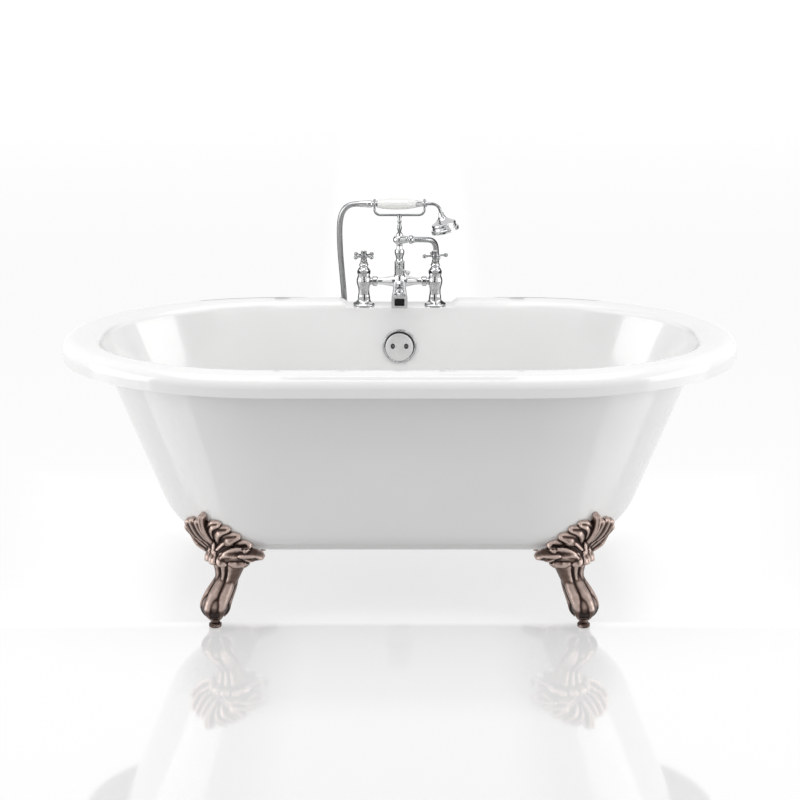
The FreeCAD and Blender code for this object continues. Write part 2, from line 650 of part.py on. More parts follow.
def waste_tee():
    """Joins the drain and the overflow, with the outlet tail below."""
    o = V(0, PIPE_Y, TEE_Z)
    body = cylinder(TEE_RADIUS, 2 * TEE_REACH, o - V(0, 0, TEE_REACH))
    branch = cylinder(TEE_RADIUS, TEE_REACH, o, FRONT)
    tail = cylinder(TAIL_RADIUS, TEE_Z - TAIL_END, V(0, PIPE_Y, TAIL_END))
    tee = joined([body, branch, tail])
    bore = PIPE_RADIUS - PIPE_WALL
    cuts = [cylinder(bore, TEE_Z + TEE_REACH - TAIL_END, V(0, PIPE_Y, TAIL_END)),
            cylinder(bore, TEE_REACH, o, FRONT),
            cylinder(PIPE_RADIUS + THREAD_GAP, SOCKET_DEPTH, o + V(0, 0, TEE_REACH - SOCKET_DEPTH)),
            cylinder(PIPE_RADIUS + THREAD_GAP, SOCKET_DEPTH, o - V(0, TEE_REACH, 0), BACK)]
    return tee.cut(Part.makeCompound(cuts))


def overflow_pipe():
    start = TEE_Z + TEE_REACH - SOCKET_DEPTH
    end = ELBOW_BASE + SOCKET_DEPTH
    return ring(PIPE_RADIUS, PIPE_RADIUS - PIPE_WALL, end - start, V(0, PIPE_Y, start))


def slip_nut(mouth, direction):
    """A ring nut over a socket's mouth, pressing on the pipe that goes into it."""
    base = mouth - direction * (SLIP_NUT_LENGTH - 6)
    nut = hexagon(SLIP_NUT_FLATS, SLIP_NUT_LENGTH, base, direction, PIPE_RADIUS + THREAD_GAP)
    return nut.cut(cylinder(TEE_RADIUS + THREAD_GAP, SLIP_NUT_LENGTH - 6, base, direction))


def slip_nuts():
    return [slip_nut(V(0, DRAIN_Y + SHOE_REACH, TEE_Z), BACK),
            slip_nut(V(0, PIPE_Y - TEE_REACH, TEE_Z), FRONT),
            slip_nut(V(0, PIPE_Y, TEE_Z + TEE_REACH), UP),
            slip_nut(V(0, PIPE_Y, ELBOW_BASE), DOWN)]


def overflow_elbow():
    """The box behind the tub's wall that takes the overflow down into the pipe, with two screw posts."""
    face, inward = overflow_axis()
    outward = inward * -1
    seat = face + outward * (WALL + GASKET_THICK)
    head = cylinder(ELBOW_RADIUS, ELBOW_DEPTH, seat, outward)
    down = cylinder(TEE_RADIUS, OVERFLOW_Z - ELBOW_BASE, V(0, PIPE_Y, ELBOW_BASE))
    body = joined([head, down])
    way = cylinder(OVERFLOW_HOLE, ELBOW_DEPTH - 4, seat, outward)
    fall = cylinder(PIPE_RADIUS - PIPE_WALL, OVERFLOW_Z - ELBOW_BASE - 6, V(0, PIPE_Y, ELBOW_BASE))
    seat_low = cylinder(PIPE_RADIUS + THREAD_GAP, SOCKET_DEPTH, V(0, PIPE_Y, ELBOW_BASE))
    body = body.cut(Part.makeCompound([way, fall, seat_low]))
    posts = []
    for side in (-1, 1):
        start = seat + outward * (ELBOW_DEPTH - 3) + V(side * OVERFLOW_SCREW_HALF, 0, 0)
        posts.append(cylinder(5, ELBOW_DEPTH - 3 + GASKET_THICK + WALL - FIT_GAP, start, inward))
    body = joined([body] + posts)
    holes = [cylinder(SCREW_RADIUS + THREAD_GAP, SCREW_LENGTH, p, outward) for p in overflow_screw_points(0)]
    return body.cut(Part.makeCompound(holes))


def overflow_screw_points(lift):
    face, inward = overflow_axis()
    return [face + inward * lift + V(s * OVERFLOW_SCREW_HALF, 0, 0) for s in (-1, 1)]


def overflow_gasket():
    face, inward = overflow_axis()
    return ring(ELBOW_RADIUS, OVERFLOW_HOLE, GASKET_THICK, face - inward * (WALL + GASKET_THICK), inward)


def overflow_plate():
    """The chromed face: a raised ring and an offset disc with a crescent slot between them."""
    face, inward = overflow_axis()
    down_wall = inward.cross(LEFT)
    shift = (LEFT + down_wall) * OVERFLOW_OFFSET
    web = cylinder(OVERFLOW_PLATE_RADIUS, OVERFLOW_WEB, face, inward)
    slot = cylinder(OVERFLOW_RING_BORE, OVERFLOW_WEB, face, inward)
    slot = slot.cut(cylinder(OVERFLOW_DISC + OVERFLOW_OFFSET, OVERFLOW_WEB, face + shift, inward))
    web = web.cut(slot)
    rim = turned([(OVERFLOW_PLATE_RADIUS, 0), (OVERFLOW_PLATE_RADIUS, 3),
                  [(OVERFLOW_PLATE_RADIUS - 3, 6), (OVERFLOW_RING_BORE + 3, 6.6), (OVERFLOW_RING_BORE, 4)]],
                 OVERFLOW_RING_BORE, face, inward)
    disc = cylinder(OVERFLOW_DISC, OVERFLOW_WEB + 2.5, face + shift, inward)
    holes = [cylinder(SCREW_RADIUS + FIT_GAP, 20, p, inward) for p in overflow_screw_points(0)]
    return joined([web, rim, disc]).cut(Part.makeCompound(holes))


def overflow_screws():
    face, inward = overflow_axis()
    top = OVERFLOW_WEB + 2.5
    screws = []
    for point in overflow_screw_points(top):
        shank = cylinder(SCREW_RADIUS, SCREW_LENGTH - 1, point, inward * -1)
        head = turned([(SCREW_HEAD, 0), (SCREW_HEAD, 0.8), [(SCREW_HEAD / 2, 2.2), (0.001, 2.5)]], 0, point, inward)
        slot = Part.makeBox(2 * SCREW_HEAD, 1.2, 1.2, V(-SCREW_HEAD, -0.6, 1.6))
        screws.append(joined([shank, head]).cut(place(slot, point, inward)))
    return screws


# ================= mixer =================

def pillar(side):
    """One upright of the mixer: threaded tail, turned body and a stub towards the bridge."""
    o = V(side * PILLAR_HALF, MIXER_Y, DECK_Z)
    r = TAP_FLANGE_RADIUS
    top = PILLAR_HEIGHT
    body = turned([(r, SEAL_THICK), (r, 4), [(r - 3, 7), (r - 8, 10), (r - 11, TAP_FLANGE_HEIGHT + 4)],
                   (15.2, 24), [(14, 34), (15, 44), (18, 56), (18.6, 63), (17.5, 70), (15, 76)],
                   (15, top - 4), (16.5, top - 3), (16.5, top)], 0, o)
    spigot = cylinder(TAIL_SPIGOT, TAIL_SPIGOT_LENGTH, o - V(0, 0, TAIL_LENGTH))
    thread = cylinder(TAIL_THREAD, TAIL_LENGTH - TAIL_SPIGOT_LENGTH + 6,
                      o - V(0, 0, TAIL_LENGTH - TAIL_SPIGOT_LENGTH))
    stub = cylinder(STUB_RADIUS, STUB_REACH, o + V(0, 0, BRIDGE_HEIGHT), V(-side, 0, 0))
    shape = joined([body, spigot, thread, stub])
    cuts = [cylinder(WATERWAY, TAIL_LENGTH + top, o - V(0, 0, TAIL_LENGTH)),
            cylinder(STUB_BORE, STUB_REACH, o + V(0, 0, BRIDGE_HEIGHT), V(-side, 0, 0)),
            cylinder(CARTRIDGE_RADIUS + THREAD_GAP, CARTRIDGE_DEPTH + 1, o + V(0, 0, top - CARTRIDGE_DEPTH - 1))]
    return shape.cut(Part.makeCompound(cuts))


def pillar_seals():
    return [ring(TAP_FLANGE_RADIUS - 1, TAIL_THREAD + TAIL_CLEAR, SEAL_THICK,
                 V(s * PILLAR_HALF, MIXER_Y, DECK_Z)) for s in (-1, 1)]


def pillar_back_nuts():
    nuts = []
    for s in (-1, 1):
        o = V(s * PILLAR_HALF, MIXER_Y, DECK_Z - WALL - BACK_NUT_HEIGHT)
        nut = hexagon(BACK_NUT_FLATS, BACK_NUT_HEIGHT, o, UP)
        flange = cylinder(BACK_NUT_FLANGE, 3, o + V(0, 0, BACK_NUT_HEIGHT - 3))
        nuts.append(joined([nut, flange]).cut(cylinder(TAIL_THREAD + THREAD_GAP, BACK_NUT_HEIGHT, o)))
    return nuts


def headwork(side):
    """The valve's cartridge and bonnet, screwed into the top of a pillar."""
    o = V(side * PILLAR_HALF, MIXER_Y, PILLAR_TOP)
    cone = turned([(15, 6), [(14, 10), (10.5, 15), (11.5, 19), (10.8, 23)], (9.5, 24.5), (9.5, BONNET_HEIGHT)], 0, o)
    flats = hexagon(BONNET_FLATS, 6, o)
    cartridge = cylinder(CARTRIDGE_RADIUS, CARTRIDGE_DEPTH, o - V(0, 0, CARTRIDGE_DEPTH))
    shape = joined([cone, flats, cartridge])
    return shape.cut(cylinder(SPINDLE_RADIUS + SPINDLE_CLEAR, CARTRIDGE_DEPTH + BONNET_HEIGHT - 4,
                              o - V(0, 0, CARTRIDGE_DEPTH - 4)))


def spindle(side):
    o = V(side * PILLAR_HALF, MIXER_Y, PILLAR_TOP - CARTRIDGE_DEPTH + 4.3)
    top = HUB_BASE + HUB_SOCKET
    return cylinder(SPINDLE_RADIUS, top - o.z, o)


def cross_head(side):
    """The four-armed handle with a ball on each arm."""
    turn = CROSS_TURNS["hot" if side < 0 else "cold"]
    o = V(side * PILLAR_HALF, MIXER_Y, HUB_BASE)
    hub = turned([(8.2, 0), (8.6, 2), [(7.2, 6), (8.4, 11), (8.8, CROSS_LEVEL), (8.4, 18)], (7.2, 21),
                  (7.2, HUB_HEIGHT)], 0, o)
    pieces = [hub]
    for k in range(4):
        a = math.radians(turn + 90 * k)
        way = V(math.cos(a), math.sin(a), 0)
        arm = turned([(3.4, 0), (3.4, 9), [(2.4, 14), (2.5, 20)], (2.5, CROSS_REACH)], 0, o + V(0, 0, CROSS_LEVEL), way)
        pieces += [arm, Part.makeSphere(CROSS_BALL, o + V(0, 0, CROSS_LEVEL) + way * CROSS_REACH)]
    shape = joined(pieces)
    socket = cylinder(SPINDLE_RADIUS + THREAD_GAP, HUB_SOCKET, o)
    seat = cylinder(INDEX_RADIUS + THREAD_GAP, INDEX_SEAT, o + V(0, 0, HUB_HEIGHT - INDEX_SEAT))
    return shape.cut(Part.makeCompound([socket, seat]))


def index_button(side):
    o = V(side * PILLAR_HALF, MIXER_Y, HUB_BASE + HUB_HEIGHT - INDEX_SEAT)
    return turned([(INDEX_RADIUS, 0), (INDEX_RADIUS, INDEX_SEAT + 0.3), [(INDEX_RADIUS * 0.6, INDEX_SEAT + 1.6),
                   (0.001, INDEX_SEAT + 2)]], 0, o)


def rounded_box_wire(width, low, high, y, radius):
    """An upright rounded rectangle across the spout at y."""
    w = width / 2
    r = radius
    arcs = []
    corners = [(w - r, high - r, 0), (-w + r, high - r, 90), (-w + r, low + r, 180), (w - r, low + r, 270)]
    ends = []
    for cx, cz, start in corners:
        def at(angle, cx=cx, cz=cz):
            return V(cx + r * math.cos(math.radians(angle)), y, cz + r * math.sin(math.radians(angle)))
        arcs.append((at(start), at(start + 45), at(start + 90)))
    for k, (a, m, b) in enumerate(arcs):
        ends.append(Part.Arc(a, m, b).toShape())
        ends.append(Part.LineSegment(b, arcs[(k + 1) % 4][0]).toShape())
    return Part.Wire(ends)


def spout_loft(stations):
    return Part.makeLoft([rounded_box_wire(*s) for s in stations], True, False)


def bridge():
    """The centre body with its two arms and the bath spout."""
    o = V(0, MIXER_Y, BRIDGE_Z)
    core = turned([(13, -22), (17, -18), [(18, -8), (17.5, 2), (15, 9)], (13.5, BRIDGE_TOP)], 0, o)
    pieces = [core]
    for s in (-1, 1):
        arm = turned([(14, 0), (14, 16), [(13, 24), (10, 38), (STUB_RADIUS, 48)],
                      (STUB_RADIUS, PILLAR_HALF - STUB_REACH)], 0, o, V(s, 0, 0))
        pieces.append(arm)
    y0, z0 = MIXER_Y, BRIDGE_Z
    low = z0 - SPOUT_DROP
    mouth_y = y0 - SPOUT_REACH
    outer = spout_loft([(31, z0 - 20, z0 + 4, y0 - 4, 7), (31, z0 - 22, z0 + 3, y0 - 26, 7),
                        (34, z0 - 31, z0 - 3, y0 - 60, 6),
                        (SPOUT_MOUTH_WIDTH, low, low + SPOUT_MOUTH_HEIGHT, mouth_y, 4)])
    pieces.append(outer)
    shape = joined(pieces)
    duct = spout_loft([(22, z0 - 25, z0 - 9, y0 - 50, 4),
                       (SPOUT_BORE_WIDTH, low + SPOUT_WALL, low + SPOUT_MOUTH_HEIGHT - SPOUT_WALL, mouth_y, 2.5)])
    cuts = [duct,
            cylinder(STUB_BORE, 2 * PILLAR_HALF, o - V(PILLAR_HALF, 0, 0), RIGHT),
            cylinder(STUB_BORE, 54, o - V(0, 0, 12), V(0, -1, -0.06)),
            cylinder(COLUMN_BORE, 30, o)]
    return shape.cut(Part.makeCompound(cuts))


def bridge_ring_nuts():
    nuts = []
    for s in (-1, 1):
        start = V(s * (PILLAR_HALF - STUB_REACH - RING_NUT_LENGTH / 2), MIXER_Y, BRIDGE_Z)
        nut = turned([(RING_NUT_RADIUS - 2.5, 0), (RING_NUT_RADIUS, 2), (RING_NUT_RADIUS, RING_NUT_LENGTH - 2),
                      (RING_NUT_RADIUS - 2.5, RING_NUT_LENGTH)],
                     STUB_RADIUS + THREAD_GAP, start, V(s, 0, 0))
        nuts.append(nut)
    return nuts


def column():
    """The diverter's barrel and the turned baluster above it."""
    o = V(0, MIXER_Y, COLUMN_BASE)
    r = COLUMN_RADIUS
    n = COLUMN_HEIGHT
    shape = turned([(r + 1, 0), (r + 1, 2), (r, 3), (r, n - 43), (r + 0.7, n - 42), (r + 0.7, n - 40),
                    [(r - 3.5, n - 36), (r - 3.9, n - 32), (r - 1, n - 22), (r - 0.3, n - 14), (r - 1.5, n - 9)],
                    (7.5, n - 8), (6.5, n)], 0, o)
    cuts = [cylinder(COLUMN_BORE, COLUMN_HEIGHT, o),
            cylinder(LEVER_SPINDLE + STUD_CLEAR, LEVER_BOSS + 6, V(0, MIXER_Y + 6, LEVER_Z), FRONT)]
    boss = cylinder(7, LEVER_BOSS, V(0, MIXER_Y, LEVER_Z), FRONT)
    return joined([shape, boss]).cut(Part.makeCompound(cuts))


def diverter_spindle():
    start = V(0, MIXER_Y + 5.7, LEVER_Z)
    return cylinder(LEVER_SPINDLE, 5.7 + LEVER_BOSS + FIT_GAP + 4, start, FRONT)


def diverter_lever():
    """The little lever that sends water to the spout or to the hand shower."""
    o = V(0, MIXER_Y - LEVER_BOSS - FIT_GAP, LEVER_Z)
    hub = turned([(6.5, 0), (6.5, 4), [(5.5, 6.5), (0.001, 8)]], 0, o, FRONT)
    drop = math.radians(LEVER_DROP)
    way = V(math.cos(drop), 0, -math.sin(drop))
    root = o + V(0, -3.5, 0)
    stick = turned([(3.2, 0), (2.6, 8), [(3, 15), (4, LEVER_LENGTH)]], 0, root, way)
    tip = Part.makeSphere(4, root + way * LEVER_LENGTH)
    shape = joined([hub, stick, tip])
    return shape.cut(cylinder(LEVER_SPINDLE + THREAD_GAP, 4, o, FRONT))


def hose_outlet():
    """The body above the baluster: the hose leaves it to the right."""
    o = V(-OUTLET_BACK, MIXER_Y, OUTLET_Z)
    end = OUTLET_BACK + OUTLET_NUT_END - 2
    body = turned([(0.001, 0), [(7, 2), (11.5, 8), (13, 15), (11, 25), (9.5, OUTLET_BODY - 4)],
                   (9, OUTLET_BODY), (OUTLET_THREAD, OUTLET_BODY), (OUTLET_THREAD, end)], 0, o, RIGHT)
    neck = cylinder(7.5, OUTLET_Z - COLUMN_TOP, V(0, MIXER_Y, COLUMN_TOP))
    boss = turned([(8, 8), (7.6, 15), (POST_RADIUS + 1.4, 18)], 0, V(0, MIXER_Y, OUTLET_Z))
    shape = joined([body, neck, boss])
    cuts = [cylinder(COLUMN_BORE, OUTLET_Z - COLUMN_TOP, V(0, MIXER_Y, COLUMN_TOP)),
            cylinder(COLUMN_BORE, OUTLET_NUT_END, V(0, MIXER_Y, OUTLET_Z), RIGHT),
            cylinder(POST_RADIUS + THREAD_GAP, 9, V(0, MIXER_Y, OUTLET_Z + 10))]
    return shape.cut(Part.makeCompound(cuts))


def outlet_nut():
    """The hose's lower nut."""
    o = V(OUTLET_NUT_END - OUTLET_NUT_LENGTH, MIXER_Y, OUTLET_Z)
    nut = turned([(10, 0), (11.5, 1.5), (11.5, 7), (9.6, 9), (8.4, OUTLET_NUT_LENGTH)],
                 0, o, RIGHT)
    nut = nut.cut(cylinder(OUTLET_THREAD + THREAD_GAP, OUTLET_NUT_LENGTH - 2, o, RIGHT))
    return nut.cut(cylinder(HOSE_BORE, OUTLET_NUT_LENGTH, o, RIGHT))


def cradle_post():
    base = V(0, MIXER_Y, OUTLET_Z + 10.3)
    top = YOKE_Z - YOKE_RADIUS - 3
    return turned([(POST_RADIUS, base.z), (POST_RADIUS, OUTLET_Z + 26), [(POST_RADIUS + 1.4, OUTLET_Z + 30),
                   (POST_RADIUS, OUTLET_Z + 34), (POST_RADIUS - 0.6, top - 6)], (POST_RADIUS - 0.6, top)], 0,
                  V(0, MIXER_Y, 0))


def cradle_yoke():
    """The U-shaped cradle with an open fork at each end."""
    y, z = MIXER_Y, YOKE_Z
    fork_low = HANDSET_Z - FORK_RADIUS
    bar_top = fork_low - FORK_SEAT
    path = rounded_wire([V(-YOKE_HALF, y, bar_top), V(-YOKE_HALF, y, z), V(YOKE_HALF, y, z),
                         V(YOKE_HALF, y, bar_top)], [YOKE_BEND, YOKE_BEND])
    pieces = [bar_along(path, YOKE_RADIUS)]
    pieces.append(turned([(POST_RADIUS + 1, z - YOKE_RADIUS - 3), (POST_RADIUS + 1, z), (3, z + 2.5)], 0, V(0, y, 0)))
    r = FORK_RADIUS
    for x in (-YOKE_HALF, YOKE_HALF):
        prong = HANDSET_Z + FORK_PRONG
        low = Part.Arc(V(x, y - r, HANDSET_Z), V(x, y, HANDSET_Z - r), V(x, y + r, HANDSET_Z)).toShape()
        front = Part.LineSegment(V(x, y - r, prong), V(x, y - r, HANDSET_Z)).toShape()
        back = Part.LineSegment(V(x, y + r, HANDSET_Z), V(x, y + r, prong)).toShape()
        pieces.append(bar_along(Part.Wire([front, low, back]), FORK_WIRE))
        pieces += [Part.makeSphere(FORK_TIP, V(x, y + s * (r + FORK_TIP - FORK_WIRE), prong)) for s in (-1, 1)]
    return joined(pieces)


# ================= hand shower =================

def on_handset(x):
    return V(x, MIXER_Y, HANDSET_Z)


def handset_grip():
    """The porcelain grip."""
    half = (GRIP_END - GRIP_START) / 2
    r = GRIP_RADIUS
    return turned([(r - 5, 0), (r - 4, 1), [(r - 1.2, half * 0.4), (r, half), (r - 1.2, half * 1.6),
                   (r - 4, 2 * half - 1)], (r - 5, 2 * half)], ARM_RADIUS + THREAD_GAP, on_handset(GRIP_START), RIGHT)


def handset_tube():
    """The tube through the grip, bent down to the rose."""
    corner_z = HANDSET_Z
    way = rose_axis()
    end = rose_top()
    run = (corner_z - end.z) / -way.z
    corner = end - way * run
    path = rounded_wire([on_handset(FERRULE_END + 4), corner, end], [ARM_BEND])
    bar = bar_along(path, ARM_RADIUS)
    core = cylinder(ARM_RADIUS - 1.2, 60, on_handset(FERRULE_END + 4), RIGHT)
    return bar.cut(core)


def collar(end, direction):
    """A flared metal end for the grip, with the neck that the cradle's fork holds."""
    length = YOKE_HALF + COLLAR_END - abs(end)
    return turned([(GRIP_RADIUS - 5, 0), (GRIP_RADIUS - 5, 1.2), (NECK_RADIUS, length - 11.2),
                   (NECK_RADIUS, length - 3), (NECK_RADIUS + 1.6, length - 2), (NECK_RADIUS + 1.6, length)],
                  ARM_RADIUS + THREAD_GAP, on_handset(end), direction)


def handset_collars():
    return [collar(GRIP_START, LEFT), collar(GRIP_END, RIGHT)]


def hose_ferrule():
    """The tapered nut between the hose and the hand shower."""
    start = -YOKE_HALF - COLLAR_END
    length = start - FERRULE_END
    nut = turned([(8.4, 0), (9.5, 2), (9.5, 10), (8.9, 14), [(8.6, 22), (8.2, length)]], 0,
                 on_handset(start), LEFT)
    nut = nut.cut(cylinder(ARM_RADIUS + THREAD_GAP, length - 4, on_handset(start), LEFT))
    return nut.cut(cylinder(HOSE_BORE, length, on_handset(start), LEFT))


def rose_axis():
    lean = math.radians(ROSE_TILT)
    return V(math.sin(lean), 0, -math.cos(lean))


def rose_top():
    return V(ROSE_X, MIXER_Y, ROSE_Z) - rose_axis() * ROSE_LENGTH


def rose_bell():
    way = rose_axis()
    n = ROSE_LENGTH
    start = rose_top() - way * ROSE_SOCKET
    shape = turned([(6, 0), (6.6, 1.5), (6.6, 6), [(7.4, 9), (9.5, 14), (17, 25), (26, 33), (31, 39)],
                    (ROSE_RADIUS - 2, 41), (ROSE_RADIUS - 2, n)], 0, start, way)
    hollow_cone = turned([(6, 14), (23, 34), (ROSE_RADIUS - 4, 41.5), (ROSE_RADIUS - 4, n)], 0, start, way)
    arm = cylinder(ARM_RADIUS + THREAD_GAP, ROSE_SOCKET, start, way)
    way_in = cylinder(ARM_RADIUS - 1.2, 20, start, way)
    return shape.cut(Part.makeCompound([hollow_cone, arm, way_in]))


def rose_face():
    """The spray plate, with rings of jets."""
    way = rose_axis()
    start = rose_top() + way * (ROSE_LENGTH - ROSE_SOCKET)
    plate = turned([(ROSE_RADIUS - 1.5, 0), (ROSE_RADIUS, 1), (ROSE_RADIUS, 3.5), (ROSE_RADIUS - 1, 4.5),
                    [(ROSE_RADIUS / 2, 5.6), (0.001, 6)]], 0, start, way)
    return plate



# ================= hose =================

# From the outlet's nut, over the right pillar's shoulder and behind the tub, round a hanging loop,
# and up on the left to the hand shower. Each point is (x, y, z).
HOSE_POINTS = [
    (OUTLET_NUT_END, MIXER_Y, OUTLET_Z), (63, MIXER_Y, OUTLET_Z), (86, 351, 796), (101, 373, 781),
    (108, 388, 755), (111, 396, 721), (113, 400, 680), (116, 402, 630), (121, 403, 570),
    (126, 403, 501), (126, 403, 427), (117, 403, 354), (96, 403, 289), (61, 403, 238), (17, 403, 213),
    (-31, 403, 213), (-77, 403, 235), (-111, 403, 281), (-130, 403, 342), (-139, 403, 409),
    (-142, 403, 478), (-141, 402, 542), (-140, 400, 602), (-143, 394, 660), (-147, 385, 712),
    (-150, 374, 758), (-151, 363, 796), (-151, 354, 826), (-149, 347, 850), (-144, 342, 869),
    (-134, 339, 884), (-118, MIXER_Y, HANDSET_Z), (FERRULE_END, MIXER_Y, HANDSET_Z),
]


def hose_path():
    """Straight runs joined by arcs as large as their runs allow."""
    points = [V(*p) for p in HOSE_POINTS]
    radii = []
    for a, b, c in zip(points, points[1:], points[2:]):
        turn = (b - a).getAngle(c - b)
        radii.append(0.45 * min(b.distanceToPoint(a), c.distanceToPoint(b)) / math.tan(turn / 2))
    print("hose bends, radius in mm:", [round(r) for r in radii])
    return rounded_wire(points, radii)


def hose():
    path = hose_path()
    outer = bar_along(path, HOSE_RADIUS)
    inner = bar_along(path, HOSE_BORE)
    tube = outer.cut(inner)
    section = math.pi * (HOSE_RADIUS ** 2 - HOSE_BORE ** 2)
    print("hose length %.1f mm, volume over section x length %.4f" % (path.Length, tube.Volume / section / path.Length))
    return tube


# ================= all the pieces =================

def all_parts():
    parts = {"bath_shell": bath_shell()}
    corners = ("front_left", "front_right", "back_left", "back_right")
    for name, foot, pad in zip(corners, four_corners(claw_foot()), four_corners(levelling_pad())):
        parts["claw_foot_" + name] = foot
        parts["levelling_pad_" + name] = pad
    parts["levelling_lock_nuts"] = levelling_lock_nuts()
    parts["foot_bolts"] = foot_bolts()
    parts["foot_bolt_washers"] = foot_bolt_washers()

    parts["drain_flange"] = drain_flange()
    parts["drain_gasket"] = drain_gasket()
    parts["drain_plug"] = drain_plug()
    parts["drain_plug_seal"] = drain_plug_seal()
    parts["drain_shoe"] = drain_shoe()
    parts["drain_pipe"] = drain_pipe()
    parts["waste_tee"] = waste_tee()
    parts["slip_nuts"] = slip_nuts()
    parts["overflow_pipe"] = overflow_pipe()
    parts["overflow_elbow"] = overflow_elbow()
    parts["overflow_gasket"] = overflow_gasket()
    parts["overflow_plate"] = overflow_plate()
    parts["overflow_screws"] = overflow_screws()

    for name, side in (("hot", -1), ("cold", 1)):
        parts[name + "_pillar"] = pillar(side)
        parts[name + "_headwork"] = headwork(side)
        parts[name + "_spindle"] = spindle(side)
        parts[name + "_cross_head"] = cross_head(side)
        parts[name + "_index_button"] = index_button(side)
    parts["pillar_seals"] = pillar_seals()
    parts["pillar_back_nuts"] = pillar_back_nuts()
    parts["bridge_and_spout"] = bridge()
    parts["bridge_ring_nuts"] = bridge_ring_nuts()
    parts["diverter_column"] = column()
    parts["diverter_spindle"] = diverter_spindle()
    parts["diverter_lever"] = diverter_lever()
    parts["hose_outlet"] = hose_outlet()
    parts["outlet_nut"] = outlet_nut()
    parts["cradle_post"] = cradle_post()
    parts["cradle_yoke"] = cradle_yoke()

    parts["handset_grip"] = handset_grip()
    parts["handset_tube"] = handset_tube()
    parts["handset_collars"] = handset_collars()
    parts["hose_ferrule"] = hose_ferrule()
    parts["rose_bell"] = rose_bell()
    parts["rose_face"] = rose_face()
    parts["hose"] = hose()
    return parts


def main():
    os.makedirs("parts", exist_ok=True)
    for name, shape in all_parts().items():
        if isinstance(shape, list):
            shape = Part.makeCompound(shape)
        print(f"{name:28s} solids {len(shape.Solids):2d}  valid {shape.isValid()}  {shape.Volume / 1000:10.1f} cm3")
        shape.exportStep(f"parts/{name}.step")


main()
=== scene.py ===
"""Clawfoot bathtub with a bridge bath mixer, hand shower and hose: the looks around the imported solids.

Metres. +Z is up, the floor is z = 0, +X runs along the tub, and the mixer stands on the +Y rim.
"""

import json
import logging
import math
from dataclasses import dataclass, field
from enum import Enum
from typing import Iterable, Sequence

import bmesh
import bpy
import numpy as np
from mathutils import Matrix, Vector

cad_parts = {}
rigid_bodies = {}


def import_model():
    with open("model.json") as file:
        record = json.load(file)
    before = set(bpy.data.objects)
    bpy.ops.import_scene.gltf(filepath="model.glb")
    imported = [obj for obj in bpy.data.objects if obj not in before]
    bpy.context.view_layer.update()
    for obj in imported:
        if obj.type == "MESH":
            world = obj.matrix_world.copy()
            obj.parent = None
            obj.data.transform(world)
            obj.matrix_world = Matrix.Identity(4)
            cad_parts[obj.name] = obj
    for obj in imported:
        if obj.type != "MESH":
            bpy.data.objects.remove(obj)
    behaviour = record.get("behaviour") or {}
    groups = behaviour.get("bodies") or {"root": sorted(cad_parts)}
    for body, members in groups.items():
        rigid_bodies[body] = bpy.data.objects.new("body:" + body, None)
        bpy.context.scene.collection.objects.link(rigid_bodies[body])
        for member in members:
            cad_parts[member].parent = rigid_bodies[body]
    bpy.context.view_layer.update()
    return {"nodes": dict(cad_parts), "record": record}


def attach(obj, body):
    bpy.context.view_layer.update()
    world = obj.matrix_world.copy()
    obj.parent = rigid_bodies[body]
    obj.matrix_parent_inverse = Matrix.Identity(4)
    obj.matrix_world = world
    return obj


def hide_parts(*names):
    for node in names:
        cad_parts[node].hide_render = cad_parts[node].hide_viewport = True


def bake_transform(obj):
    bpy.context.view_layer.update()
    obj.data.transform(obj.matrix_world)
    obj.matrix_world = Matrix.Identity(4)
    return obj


log = logging.getLogger("bathtub")

MM = 0.001
CORNERS = (("front_left", -1, -1), ("front_right", 1, -1), ("back_left", -1, 1), ("back_right", 1, 1))
Point = tuple[float, float, float]
Profile = Sequence[tuple[float, float] | list[tuple[float, float]]]


# ------------------------------------------------------------------ node and mesh helpers


